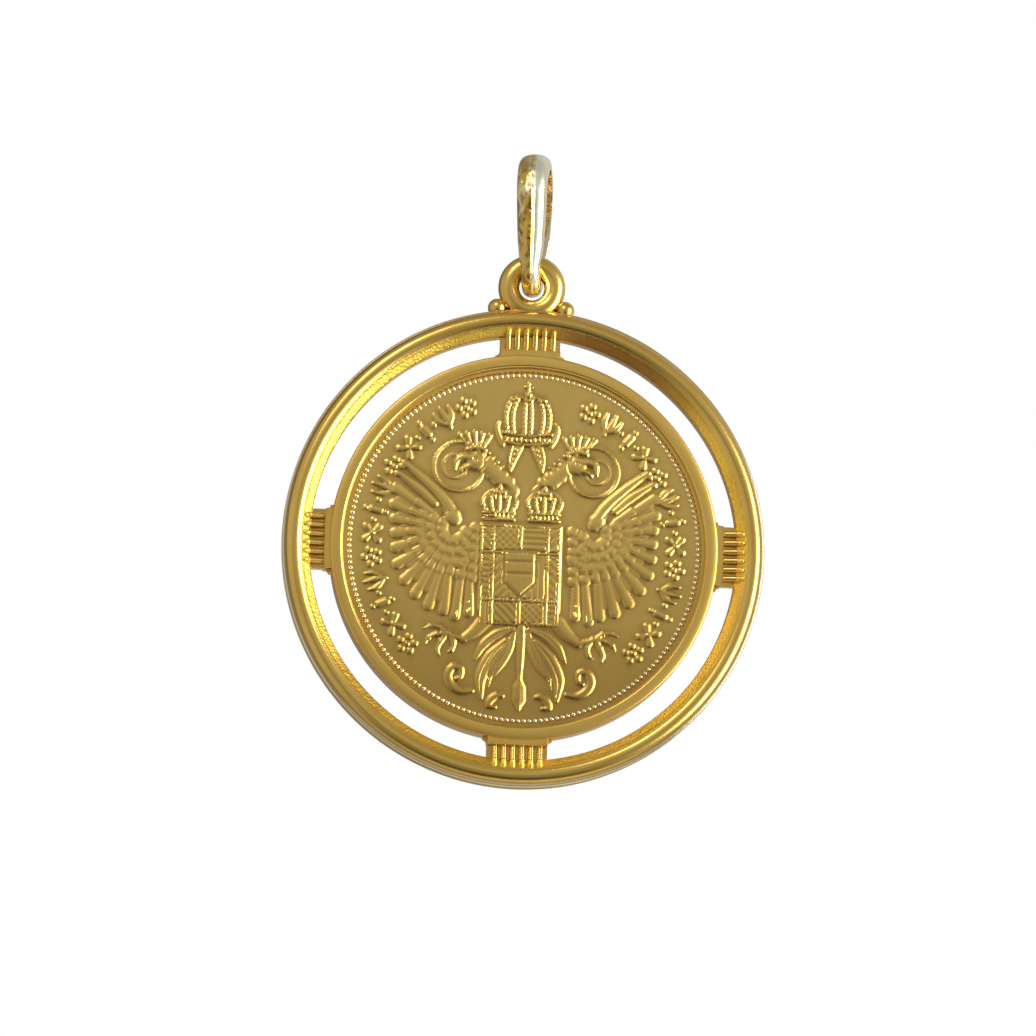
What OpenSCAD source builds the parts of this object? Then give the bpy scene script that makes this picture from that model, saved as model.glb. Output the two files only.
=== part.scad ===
// Coin pendant: a struck coin in a round openwork frame, hanging from a loop for a chain.
// Z points up, the coin's face looks along -Y, and the origin is where the chain bears
// inside the top of the bail.

/* [Coin] */
// Diameter of the coin
coin_d = 22.9; // [18:0.1:30]
// Thickness of the coin at its rim
coin_th = 1.3; // [1.1:0.05:1.6]
// Width of the plain raised rim that shows inside the bezel
coin_rim_w = 0.22; // [0.15:0.01:0.4]
// How far the field lies below the rim
field_drop = 0.24; // [0.16:0.01:0.3]
// Height of the strongest relief above the field
relief_h = 0.24; // [0.12:0.01:0.28]

/* [Bezel] */
// Gap between the coin and its seat
seat_gap = 0.05; // [0.03:0.01:0.1]
// How far the lips reach over the coin's edge
lip_cover = 0.2; // [0.15:0.01:0.4]
// Wall outside the coin's seat
bezel_wall = 0.55; // [0.4:0.05:1.2]
// How far the lips stand proud of the coin's rim
lip_rise = 0.35; // [0.2:0.05:0.6]

/* [Ring] */
// Width of the four openings between bezel and ring
slot_w = 1.25; // [0.8:0.05:2.5]
// Width of the ring, from the openings to the rim
ring_w = 1.7; // [1.5:0.05:2.4]
// Thickness of the ring over both domes
ring_th = 2.36; // [2.2:0.02:3]
// Thickness of the slotted plate in the middle
plate_th = 0.7; // [0.5:0.05:0.9]
// Thickness of each flange beside the plate
flange_th = 0.48; // [0.3:0.02:0.5]
// Width of each flange outside its dome
flange_w = 0.56; // [0.3:0.02:0.6]
// Width of the sloping flank inside each dome
flank_w = 0.58; // [0.4:0.02:0.65]
// Depth of the groove that runs round the rim
rim_groove = 0.2; // [0.1:0.02:0.25]

/* [Bridges] */
// Number of bridges between bezel and ring
bridge_n = 4; // [3:1:6]
// Width of a bridge
bridge_w = 3.74; // [3.4:0.02:5]
// Width of the plain pad between the bezel and the ridges
pad_w = 0.34; // [0.2:0.02:0.5]
// Number of ridges on each face of a bridge
ridge_n = 6; // [4:1:6]
// Spacing of the ridges
ridge_pitch = 0.56; // [0.52:0.01:0.6]
// Diameter of a ridge
ridge_d = 0.4; // [0.3:0.02:0.46]

/* [Eyelet] */
// Play of the bail's band in the eyelet's hole
eye_play = 0.36; // [0.3:0.02:0.6]
// Diameter of the eyelet's wire
eye_wire_d = 1.32; // [1.1:0.02:1.5]
// How deep the eyelet's wire sinks into the ring
eye_sink = 0.62; // [0.4:0.02:0.8]
// Diameter of the solder balls beside the eyelet
ball_d = 1.18; // [0.9:0.02:1.3]
// How deep the balls sink into the rim
ball_sink = 0.32; // [0.2:0.02:0.4]
// Distance of each ball from the middle
ball_x = 2.12; // [2:0.02:2.3]

/* [Bail] */
// Height of the bail's opening
bail_h = 6.83; // [6:0.1:10]
// Width of the bail's opening, front to back
bail_open = 3.6; // [3.2:0.1:5]
// Thickness of the band at the top
bail_top_t = 1; // [0.8:0.05:1.3]
// Thickness of the band's domed outside at the bottom
bail_low_t = 0.84; // [0.7:0.02:0.88]
// How far the band's inside is rounded out at the bottom
bail_low_belly = 0.42; // [0.3:0.02:0.44]
// Width of the band at the top
bail_top_w = 1.96; // [1.6:0.02:2.4]
// Width of the band at the bottom, inside the eyelet
bail_low_w = 1.2; // [1.1:0.02:1.4]
// Turn of the bail about the vertical, as it hangs
bail_turn = 10; // [0:1:12]
// Gap between the band and the eyelet's wire
hang_gap = 0.1; // [0.08:0.01:0.12]

/* [Hidden] */
gold = [0.83, 0.62, 0.16];
coin_gold = [0.68, 0.53, 0.2];
pale_gold = [0.8, 0.69, 0.36];
ROUND_FN = 96;

// Radii, from the coin outwards
coin_r = coin_d / 2;
seat_r = coin_r + seat_gap;
lip_r = coin_r - lip_cover;
bezel_r = seat_r + bezel_wall;
slot_r = bezel_r + slot_w;
ring_r = slot_r + ring_w;
dome_out = ring_r - flange_w;
dome_in = slot_r + flank_w;

// Heights from the middle plane of the pendant
half_plate = plate_th / 2;
flange_top = half_plate + flange_th;
dome_top = ring_th / 2;
seat_top = coin_th / 2 + seat_gap;
lip_top = coin_th / 2 + lip_rise;
field_z = coin_th / 2 - field_drop;

// The coin's design is drawn for a bead border of this radius and scaled to the coin
DRAWN_BORDER_R = 10.84;
rim_in = lip_r - coin_rim_w;
design_scale = (rim_in - 0.19) / DRAWN_BORDER_R;

// Heights along Z, from the bail down
eye_hole_r = (bail_low_w + eye_play) / 2;
eye_wire_r = eye_wire_d / 2;
eye_ring_r = eye_hole_r + eye_wire_r;
eye_z = -bail_h + hang_gap - eye_hole_r;
eye_out_r = eye_ring_r + eye_wire_r;
coin_z = eye_z - eye_out_r + eye_sink - ring_r;
ball_r = ball_d / 2;
ball_z = sqrt(pow(ring_r + ball_r - ball_sink, 2) - ball_x * ball_x);

// Lays a form drawn on XY, with its face up, into the pendant's plane with its face to the front
module facing_front() {
    translate([0, 0, coin_z]) rotate([90, 0, 0]) children();
}

// Mirrors a form to both faces of the frame
module both_faces() {
    children();
    mirror([0, 0, 1]) children();
}

// An outline's upper half, and the same points mirrored below it to close the section
function both_halves(upper) = concat(
    upper,
    [for (i = [len(upper) - 1 : -1 : 0]) [upper[i][0], -upper[i][1]]]
);

// The ring: the slotted plate, a flange and a flank on each side of it, and the two domes.
// The upright axis of the section is the height from the middle plane.
module ring() {
    bevel = 0.06;
    flank_foot = half_plate + 0.1;
    dome_r = (dome_out - dome_in) / 2 + 0.06;
    dome_mid = (dome_out + dome_in) / 2;
    shoulder = dome_top - dome_r * 0.3;
    rotate_extrude($fn = ROUND_FN) {
        polygon(both_halves([
            [ring_r - rim_groove, half_plate],
            [ring_r - bevel, half_plate],
            [ring_r, half_plate + bevel],
            [ring_r, flange_top - bevel],
            [ring_r - bevel, flange_top],
            [dome_mid + dome_r / 2, flange_top],
            [dome_mid + dome_r / 2, shoulder],
            [dome_in, shoulder],
            [slot_r, flank_foot]
        ]));
        for (side = [-1, 1]) translate([dome_mid, side * (dome_top - dome_r)])
            circle(r = dome_r, $fn = ROUND_FN);
    }
}

// The bezel: a round wall with a seat for the coin and a lip over each side of its edge
module bezel() {
    edge = 0.12;
    rotate_extrude($fn = ROUND_FN) polygon(both_halves([
        [bezel_r, lip_top - edge * 1.5],
        [bezel_r - edge / 2, lip_top - edge / 2],
        [bezel_r - edge * 2, lip_top],
        [lip_r + edge * 1.5, lip_top],
        [lip_r + edge / 2, lip_top - edge / 3],
        [lip_r, lip_top - edge],
        [lip_r, seat_top],
        [seat_r, seat_top]
    ]));
}

// One bridge along +X: the plate, a plain pad beside the bezel, and ridges that climb the ring's flank
module bridge() {
    root = bezel_wall / 2;
    end_x = slot_r + flank_w * 0.6;
    foot_z = half_plate + 0.04;
    end_z = half_plate + flank_w * 0.7;
    run = end_x - bezel_r;
    rise = end_z - foot_z;
    length = sqrt(run * run + rise * rise);
    pad_top = lip_top - 0.2;
    translate([bezel_r - root, -bridge_w / 2, -half_plate])
        cube([slot_w + root + flank_w / 2, bridge_w, plate_th]);
    translate([bezel_r - root, -bridge_w / 2, -pad_top])
        cube([pad_w + root, bridge_w, 2 * pad_top]);
    both_faces()
        for (i = [0 : ridge_n - 1])
            translate([bezel_r, (i - (ridge_n - 1) / 2) * ridge_pitch, foot_z])
                rotate([0, -atan2(rise, run), 0]) {
                    translate([-root, 0, 0]) rotate([0, 90, 0])
                        cylinder(r = ridge_d / 2, h = length + root, $fn = 48);
                    translate([length, 0, 0]) sphere(r = ridge_d / 2 + 0.02, $fn = 48);
                }
}

module eyelet() {
    translate([0, eye_z - coin_z, 0])
        rotate_extrude($fn = ROUND_FN) translate([eye_ring_r, 0]) circle(r = eye_wire_r, $fn = 48);
}

module frame() {
    color(gold) facing_front() {
        ring();
        bezel();
        for (i = [0 : bridge_n - 1]) rotate([0, 0, 90 + i * 360 / bridge_n]) bridge();
        eyelet();
        // The balls' poles lie sideways, so that their seams keep clear of the eyelet's
        for (side = [-1, 1]) translate([side * ball_x, ball_z, 0])
            rotate([0, 90, 0]) sphere(r = ball_r, $fn = 48);
    }
}

// The bail's path in its own plane: the inner edges of the band, a large arc above and a small one below.
// The lower arc runs round the middle of the eyelet's wire, which is the axis of the swing.
bail_top_r = bail_open / 2;
swing_z = eye_z + eye_ring_r;
bail_low_r = eye_wire_r + hang_gap + bail_low_belly;
limb_lean = asin((bail_top_r - bail_low_r) / (-bail_top_r - swing_z));
top_steps = 14;
limb_steps = 5;
low_steps = 12;

function arc_stop(mid_z, radius, angle) = [radius * cos(angle), mid_z + radius * sin(angle), angle];
top_stops = [for (i = [0 : top_steps])
    arc_stop(-bail_top_r, bail_top_r, -limb_lean + i * (180 + 2 * limb_lean) / top_steps)];
low_stops = [for (i = [0 : low_steps])
    arc_stop(swing_z, bail_low_r, 180 + limb_lean + i * (180 - 2 * limb_lean) / low_steps)];
function limb_stops(a, b) = [for (i = [1 : limb_steps - 1]) a + (b - a) * i / limb_steps];
turned_end = [low_stops[low_steps][0], low_stops[low_steps][1], -limb_lean];
bail_path = concat(
    top_stops,
    limb_stops(top_stops[top_steps], low_stops[0]),
    low_stops,
    limb_stops(turned_end, top_stops[0])
);

// How far down the loop a height lies, from 0 at the top to 1 at the bottom
function down_share(z) = min(1, max(0, -z / bail_h));
// The band stays broad along its limbs, narrows quickly above the eyelet and keeps its width inside it
function narrowing(share) = 0.45 * share + 0.55 * pow(min(1, share * 1.08), 6);
function band_w(z) = bail_top_w + (bail_low_w - bail_top_w) * narrowing(down_share(z));
function band_t(z) = bail_top_t + (bail_low_t - bail_top_t) * down_share(z);
// The inside is flat above and rounded out towards the eyelet
function band_belly(z) = bail_low_belly * pow(min(1, down_share(z) * 1.05), 4);

// The band's section: a full dome on the outside of the loop, and the belly on the inside
dome_steps = 9;
belly_steps = 4;
function section_point(stop, across, out) =
    [across, stop[0] + out * cos(stop[2]), stop[1] + out * sin(stop[2])];
function band_section(stop) = let (half_w = band_w(stop[1]) / 2) concat(
    [for (i = [0 : dome_steps])
        let (angle = 180 * i / dome_steps)
        section_point(stop, half_w * cos(angle), band_t(stop[1]) * pow(sin(angle), 0.65))],
    [for (i = [1 : belly_steps - 1])
        let (angle = 180 * i / belly_steps)
        section_point(stop, -half_w * cos(angle), -band_belly(stop[1]) * sin(angle))]
);

module bail() {
    ring_points = dome_steps + belly_steps;
    stops = len(bail_path);
    points = [for (stop = bail_path) for (p = band_section(stop)) p];
    faces = [for (i = [0 : stops - 1]) for (k = [0 : ring_points - 1])
        let (j = (i + 1) % stops, m = (k + 1) % ring_points)
        each [
            [i * ring_points + k, i * ring_points + m, j * ring_points + m],
            [i * ring_points + k, j * ring_points + m, j * ring_points + k]
        ]];
    color(pale_gold) rotate([0, 0, -bail_turn]) polyhedron(points, faces);
}

// The coin's relief is built of tapering strokes and pellets, each sunk a little into the field.
// A height of 1 is the strongest relief.
BURY = 0.04;

module pellet(at, r, h = 0.6, sides = 6) {
    translate([at[0], at[1], field_z - BURY])
        cylinder(r1 = r, r2 = r * 0.45, h = relief_h * h + BURY, $fn = sides);
}

module stroke(a, b, ra, rb, h = 0.6) {
    hull() {
        pellet(a, ra, h);
        pellet(b, rb, h);
    }
}

// Strokes from point to point, each point given as [x, y, radius]
module trail(points, h = 0.6) {
    for (i = [0 : len(points) - 2]) stroke(points[i], points[i + 1], points[i][2], points[i + 1][2], h);
}

// A flat raised plate with the given outline
module plate(outline, h) {
    hull() translate([0, 0, field_z - BURY]) linear_extrude(relief_h * h + BURY) polygon(outline);
}

function reach(mid, radius, angle) = [mid[0] + radius * cos(angle), mid[1] + radius * sin(angle)];

module circlet(mid, radius, width, h, sides) {
    translate([mid[0], mid[1], field_z - BURY]) difference() {
        cylinder(r = radius + width / 2, h = relief_h * h + BURY, $fn = sides);
        translate([0, 0, -1]) cylinder(r = radius - width / 2, h = 3, $fn = sides);
    }
}

module small_crown() {
    stroke([-0.75, 1.75], [0.75, 1.75], 0.18, 0.18, 0.7);
    for (side = [-1, 0, 1]) {
        trail([[side * 0.5, 1.9, 0.14], [side * 0.8, 2.5, 0.16], [0, 3.1, 0.12]], 0.55);
        pellet([side * 0.55, 1.75], 0.12, 0.9);
    }
    pellet([0, 3.3], 0.2, 0.8);
    stroke([0, 3.45], [0, 3.95], 0.09, 0.09, 0.6);
    stroke([-0.2, 3.75], [0.2, 3.75], 0.09, 0.09, 0.6);
}

module wing() {
    mid = [3.9, 0.45];
    tips = [5.4, 5.4, 5.1, 4.9, 4.7, 4.7, 4.8, 4.9, 5, 4.9];
    for (i = [0 : len(tips) - 1]) {
        angle = 52 - 15 * i;
        stroke(reach(mid, 2.7, angle), reach(mid, tips[i] - 0.25, angle), 0.26, 0.34, 0.5);
    }
    for (i = [0 : 8]) stroke(reach(mid, 1.4, 44 - 15 * i), reach(mid, 2.6, 44 - 15 * i), 0.18, 0.27, 0.75);
    for (i = [0 : 6]) pellet(reach(mid, 0.85, 50 - 28 * i), 0.36, 0.9, 5);
    trail([[2.4, 1.1, 0.4], [3.6, 1.9, 0.42], [4.7, 2.4, 0.36], [6, 3.4, 0.28], [7.2, 4.5, 0.2]], 0.95);
}

module head() {
    trail([[0.5, 2.5, 0.6], [1.5, 3.5, 0.62], [2.3, 4.4, 0.5], [2.9, 5.1, 0.46]], 0.85);
    trail([[2.9, 5.15, 0.5], [3.5, 5.2, 0.34], [4.05, 5.05, 0.2], [4.2, 4.7, 0.1]], 1);
    stroke([3.4, 4.85], [3.9, 4.65], 0.16, 0.1, 0.7);
    circlet([3.9, 4.95], 1.45, 0.16, 0.35, 18);
}

module leg() {
    trail([[2.7, -3.9, 0.5], [3.5, -4.6, 0.36], [4.4, -5.3, 0.24]], 0.8);
    for (toe = [[5.7, -4.7], [6, -5.5], [5.3, -6.2], [3.9, -6]])
        trail(
            [[4.4, -5.3, 0.2], [(4.4 + toe[0]) / 2, (toe[1] - 5.3) / 2 + 0.12, 0.2], [toe[0], toe[1], 0.1]],
            0.7
        );
}

module tail_side() {
    trail([[0.6, -5.1, 0.3], [0.95, -7.2, 0.34], [1.15, -9.3, 0.2]], 0.6);
    trail([[1.2, -5.1, 0.3], [2, -7, 0.34], [2.7, -8.7, 0.24], [2.5, -9.4, 0.14]], 0.7);
    trail([[1.8, -5, 0.28], [3, -6.6, 0.3], [3.9, -7.6, 0.24], [4.1, -8.3, 0.18], [3.6, -8.6, 0.14]], 0.6);
    pellet([1.7, -8.9], 0.22, 0.6);
    pellet([3.45, -8.15], 0.2, 0.6);
}

module tail() {
    trail([[0, -5, 0.34], [0, -7.4, 0.38], [0, -9, 0.26]], 0.8);
    pellet([0, -9.6], 0.5, 0.8, 4);
}

module shield() {
    outline = [[-2.6, 1.3], [-2.6, -3.9], [-1.6, -4.6], [0, -5], [1.6, -4.6], [2.6, -3.9], [2.6, 1.3]];
    plate(outline, 0.35);
    for (i = [0 : len(outline) - 1]) stroke(outline[i], outline[(i + 1) % len(outline)], 0.13, 0.13, 0.7);
    stroke([0, 1.3], [0, -4.9], 0.08, 0.08, 0.6);
    stroke([-2.6, -1.7], [2.6, -1.7], 0.08, 0.08, 0.6);
    for (i = [0 : 3]) {
        stroke([-2.15 + 0.56 * i, 0.95], [-2.15 + 0.56 * i, -1.35], 0.12, 0.12, 0.58);
        stroke([0.4, -2.15 - 0.56 * i], [2.3 - 0.22 * i, -2.15 - 0.56 * i], 0.12, 0.12, 0.58);
        stroke([-2.3 + 0.5 * i, -3.5 - 0.28 * i], [-1.3 + 0.3 * i, -2.05 - 0.3 * i], 0.12, 0.12, 0.58);
    }
    for (i = [0 : 3]) for (k = [0 : 3]) if ((i + k) % 2 == 0)
        translate([0.45 + 0.57 * i, 0.9 - 0.68 * k, 0]) rotate([0, 0, 45]) pellet([0, 0], 0.34, 0.55, 4);
    plate([[-0.85, -0.75], [-0.85, -2], [0, -2.65], [0.85, -2], [0.85, -0.75]], 0.8);
    stroke([-0.55, -1.5], [0.55, -1.5], 0.2, 0.2, 1);
}

module great_crown() {
    stroke([-1.3, 6.45], [1.3, 6.45], 0.32, 0.32, 0.75);
    for (i = [-2 : 2]) {
        pellet([i * 0.55, 6.45], 0.15, 0.95);
        trail([[i * 0.55, 6.8, 0.18], [i * 0.95, 7.9, 0.2], [i * 0.62, 8.9, 0.18], [0, 9.3, 0.16]], 0.6);
        pellet([i * 0.86, 8.1], 0.15, 0.85);
    }
    pellet([0, 9.55], 0.3, 0.85);
    stroke([0, 9.7], [0, 10.4], 0.1, 0.1, 0.7);
    stroke([-0.27, 10.12], [0.27, 10.12], 0.1, 0.1, 0.7);
    for (side = [-1, 1])
        trail([[side * 1.3, 6.2, 0.12], [side * 1.5, 5.6, 0.2], [side * 1, 5.1, 0.16], [side * 0.7, 4.4, 0.2],
            [side * 1, 3.9, 0.1]], 0.4);
}

// The border's ornaments, where the real coin has its legend: floret, sprig, lozenge and quatrefoil
module ornament(kind) {
    if (kind == 0) {
        pellet([0, 0], 0.24, 0.7);
        for (turn = [0 : 120 : 240]) pellet(reach([0, 0], 0.42, turn + 90), 0.22, 0.5, 5);
    }
    if (kind == 1) for (side = [-1, 0, 1])
        stroke([0, -0.5], [side * 0.42, 0.5 - abs(side) * 0.3], 0.11, 0.17, 0.6);
    if (kind == 2) {
        scale([0.6, 1, 1]) pellet([0, 0], 0.46, 0.65, 4);
        for (side = [-1, 1]) pellet([0, side * 0.58], 0.13, 0.5, 5);
    }
    if (kind == 3) for (turn = [45, 135])
        stroke(reach([0, 0], 0.42, turn), reach([0, 0], -0.42, turn), 0.16, 0.16, 0.6);
}

module coin() {
    bevel = 0.08;
    legend_r = 9.45;
    legend_step = 9;
    color(coin_gold) facing_front() {
        rotate_extrude($fn = 72) polygon(both_halves([
            [0, field_z],
            [rim_in - bevel / 2, field_z],
            [rim_in, coin_th / 2],
            [coin_r - bevel, coin_th / 2],
            [coin_r, coin_th / 2 - bevel]
        ]));
        scale([design_scale, design_scale, 1]) {
            for (side = [0, 1]) mirror([side, 0, 0]) {
                wing();
                head();
                leg();
                tail_side();
                translate([1.4, 0, 0]) small_crown();
            }
            tail();
            shield();
            great_crown();
            for (i = [0 : 12]) {
                rotate([0, 0, 66 - 90 - legend_step * i]) translate([0, legend_r, 0]) ornament(i % 4);
                rotate([0, 0, 114 - 90 + legend_step * i]) translate([0, legend_r, 0]) ornament(i % 4);
            }
            circlet([0, 0], DRAWN_BORDER_R, 0.2, 0.5, 72);
        }
    }
}

bail();
frame();
coin();
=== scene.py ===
"""Dresses a gold coin pendant: a struck coin in a round openwork frame, hanging from a half-round bail.

Lengths in the shape code are millimetres, and each mesh is scaled to metres as it is made.
"""

import math

import bpy
import numpy as np
from mathutils import Matrix, Vector


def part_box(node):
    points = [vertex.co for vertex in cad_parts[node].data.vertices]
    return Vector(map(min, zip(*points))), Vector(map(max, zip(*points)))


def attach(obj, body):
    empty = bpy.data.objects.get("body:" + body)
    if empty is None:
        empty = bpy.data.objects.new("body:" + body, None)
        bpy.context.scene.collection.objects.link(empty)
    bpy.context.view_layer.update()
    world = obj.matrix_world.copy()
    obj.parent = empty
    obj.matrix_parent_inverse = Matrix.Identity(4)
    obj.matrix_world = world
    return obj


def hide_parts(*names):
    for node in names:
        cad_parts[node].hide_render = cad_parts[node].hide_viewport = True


bl_info = {
    "name": "Coin pendant",
    "version": (1, 0, 0),
    "blender": (4, 5, 0),
    "location": "3D View > Sidebar > Pendant",
    "description": "Builds a coin pendant with its openwork frame, bail and studio stage",
    "category": "Add Mesh",
}

MM = 0.001
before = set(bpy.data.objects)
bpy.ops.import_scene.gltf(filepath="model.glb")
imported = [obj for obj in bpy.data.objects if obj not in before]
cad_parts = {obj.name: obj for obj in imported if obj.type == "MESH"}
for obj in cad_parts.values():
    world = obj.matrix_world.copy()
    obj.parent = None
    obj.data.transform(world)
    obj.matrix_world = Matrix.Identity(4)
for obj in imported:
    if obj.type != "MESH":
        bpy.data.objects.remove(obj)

COIN_LOW, COIN_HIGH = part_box("coin")
FRAME_LOW, FRAME_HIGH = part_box("frame")
COIN_Z = (COIN_LOW.z + COIN_HIGH.z) / 2
COIN_R = (COIN_HIGH.x - COIN_LOW.x) / 2
COIN_TH = COIN_HIGH.y - COIN_LOW.y
RING_R = (FRAME_HIGH.x - FRAME_LOW.x) / 2


def length(name, description, default, low, high):
    """A size in metres that a user may change."""
    return bpy.props.FloatProperty(
        name=name,
        description=description,
        default=default,
        min=low,
        max=high,
        subtype="DISTANCE",
        unit="LENGTH",
        precision=5,
    )


def share(name, description, default):
    """A number from 0 to 1 that a user may change."""
    return bpy.props.FloatProperty(
        name=name, description=description, default=default, min=0.0, max=1.0, subtype="FACTOR"
    )


def tint(name, description, default):
    """A colour that a user may change."""
    return bpy.props.FloatVectorProperty(
        name=name, description=description, default=default, min=0.0, max=1.0, size=3, subtype="COLOR"
    )


class PendantCoin(bpy.types.PropertyGroup):
    """Sizes of the coin and its relief"""

    radius: length("Coin radius", "Radius of the coin", COIN_R, 0.008, 0.02)
    thickness: length("Coin thickness", "Thickness of the coin at its rim", COIN_TH, 0.001, 0.002)
    rim_in: length("Rim inner radius", "Where the plain rim begins", 0.01103, 0.008, 0.02)
    field_drop: length("Field depth", "How far the field lies below the rim", 0.00024, 0.0001, 0.0004)
    relief: length("Relief", "Height of the strongest relief above the field", 0.00012, 0.0001, 0.0004)
    bead_count: bpy.props.IntProperty(
        name="Beads", description="Number of beads in the border", default=196, min=24, max=400
    )
    bead_r: length("Bead radius", "Radius of one bead of the border", 0.000145, 0.00005, 0.0003)
    border_r: length("Border radius", "Radius of the circle of beads", 0.01084, 0.008, 0.02)


class PendantFrame(bpy.types.PropertyGroup):
    """Sizes of the openwork frame"""

    ring_r: length("Ring radius", "Outer radius of the ring", RING_R, 0.01, 0.02)
    slot_r: length("Opening radius", "Outer radius of the openings", 0.0133, 0.009, 0.02)
    bezel_r: length("Bezel radius", "Outer radius of the bezel", 0.01205, 0.009, 0.02)
    lip_r: length("Lip radius", "Inner radius of the bezel's lips", 0.01125, 0.008, 0.02)
    ridge_count: bpy.props.IntProperty(
        name="Ridges", description="Ridges on each face of a bridge", default=6, min=2, max=10
    )
    ridge_pitch: length("Ridge spacing", "Distance between two ridges", 0.00056, 0.0003, 0.001)
    ridge_r: length("Ridge radius", "Radius of one ridge", 0.0002, 0.0001, 0.0004)
    pad_w: length("Pad width", "Width of the pad between bezel and ridges", 0.00034, 0.0001, 0.0006)
    eyelet_r: length("Eyelet radius", "Radius of the middle of the eyelet's wire", 0.00144, 0.001, 0.003)
    eyelet_wire_r: length("Eyelet wire radius", "Radius of the eyelet's wire", 0.00066, 0.0004, 0.001)
    ball_r: length("Ball radius", "Radius of the solder balls", 0.00059, 0.0003, 0.001)


class PendantBail(bpy.types.PropertyGroup):
    """Sizes of the bail"""

    height: length("Opening height", "Inside height of the bail's loop", 0.00683, 0.005, 0.01)
    top_r: length("Upper radius", "Inside radius of the upper bend", 0.0018, 0.001, 0.003)
    low_r: length("Lower radius", "Inside radius of the lower bend", 0.00076, 0.0005, 0.002)
    top_w: length("Upper width", "Width of the band at the top", 0.00196, 0.001, 0.003)
    low_w: length("Lower width", "Width of the band inside the eyelet", 0.0012, 0.0008, 0.002)
    top_t: length("Upper thickness", "Thickness of the band at the top", 0.001, 0.0005, 0.002)
    low_t: length("Lower thickness", "Thickness of the band's outside at the bottom", 0.00084, 0.0005, 0.002)
    belly: length("Belly", "How far the band's inside is rounded out at the bottom", 0.00042, 0.0, 0.0006)
    turn: bpy.props.FloatProperty(
        name="Turn",
        description="Turn of the bail about the vertical",
        default=math.radians(-10),
        min=math.radians(-12),
        max=math.radians(12),
        subtype="ANGLE",
        unit="ROTATION",
    )


class PendantLooks(bpy.types.PropertyGroup):
    """Colours and gloss of the gold"""

    frame_gold: tint("Frame gold", "Colour of the frame's gold", (0.86, 0.57, 0.14))
    coin_gold: tint("Coin gold", "Colour of the coin's gold", (0.85, 0.56, 0.14))
    bail_gold: tint("Bail gold", "Colour of the bail's gold", (0.95, 0.76, 0.36))
    frame_rough: share("Frame roughness", "Roughness of the polished frame", 0.25)
    sand_rough: share("Flank roughness", "Roughness of the sandy flank", 0.42)
    coin_rough: share("Coin roughness", "Roughness of the coin's field", 0.29)
    bail_rough: share("Bail roughness", "Roughness of the bail", 0.14)


# Shader and node helpers


def maths(operation, swapped=False):
    """An operator that adds one Math node."""

    def method(self, other):
        a, b = (other, self) if swapped else (self, other)
        return self.tree.node("ShaderNodeMath", {"operation": operation}, {0: a, 1: b})

    return method


class Wire:
    """One socket in a tree, so that maths on it can be written as an expression."""

    def __init__(self, tree, socket):
        self.tree = tree
        self.socket = socket

    __add__ = __radd__ = maths("ADD")
    __sub__ = maths("SUBTRACT")
    __rsub__ = maths("SUBTRACT", True)
    __mul__ = __rmul__ = maths("MULTIPLY")
    __truediv__ = maths("DIVIDE")
    __pow__ = maths("POWER")


class Tree:
    """A node tree that is built by calls."""

    def __init__(self, tree):
        self.tree = tree

    def node(self, kind, settings=None, inputs=None, out=0):
        """Adds a node: its settings first, then the values or links of its sockets."""
        made = self.tree.nodes.new(kind)
        for key, value in (settings or {}).items():
            setattr(made, key, value)
        for key, value in (inputs or {}).items():
            self.put(made.inputs[key], value)
        return Wire(self, made.outputs[out])

    def put(self, socket, value):
        """Links a wire to a socket, or sets the socket's value."""
        if isinstance(value, Wire):
            self.tree.links.new(value.socket, socket)
        else:
            socket.default_value = value

    def vector(self, **parts):
        return self.node("ShaderNodeCombineXYZ", None, parts)

    def limit(self, value):
        return self.node("ShaderNodeClamp", None, {"Value": value})

    def step(self, value, low, high, start=0.0, end=1.0):
        """Goes smoothly from start to end as value goes from low to high."""
        ends = {"Value": value, "From Min": low, "From Max": high, "To Min": start, "To Max": end}
        return self.node("ShaderNodeMapRange", {"interpolation_type": "SMOOTHSTEP"}, ends)

    def band(self, value, low, in_low, in_high, high):
        """A mask that is 1 from in_low to in_high and falls smoothly to 0 at low and high."""
        return self.step(value, low, in_low) * self.step(value, in_high, high, 1.0, 0.0)

    def mix(self, share, a, b):
        """Blends two colours."""
        return self.node("ShaderNodeMix", {"data_type": "RGBA"}, {"Factor": share, 6: a, 7: b}, 2)

    def place(self):
        return self.node("ShaderNodeTexCoord", None, None, "Object")

    def parts(self, vector):
        """The three numbers of a vector."""
        split = self.node("ShaderNodeSeparateXYZ", None, {0: vector}).socket.node
        return [Wire(self, socket) for socket in split.outputs]

    def attribute(self, name):
        return self.node("ShaderNodeAttribute", {"attribute_name": name}, None, "Fac")

    def stretched(self, place, scale):
        """Object coordinates scaled by axis, so that a texture on them is stretched."""
        return self.node("ShaderNodeMapping", None, {"Vector": place, "Scale": scale})

    def noise(self, place, scale, detail=3.0, rough=0.5):
        values = {"Vector": place, "Scale": scale, "Detail": detail, "Roughness": rough}
        return self.node("ShaderNodeTexNoise", None, values)

    def cells(self, place, scale, feature="F1"):
        return self.node("ShaderNodeTexVoronoi", {"feature": feature}, {"Vector": place, "Scale": scale})

    def bump(self, height, distance, strength, under=None):
        inputs = {"Height": height, "Distance": distance, "Strength": strength}
        if under is not None:
            inputs["Normal"] = under
        return self.node("ShaderNodeBump", None, inputs)


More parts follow.
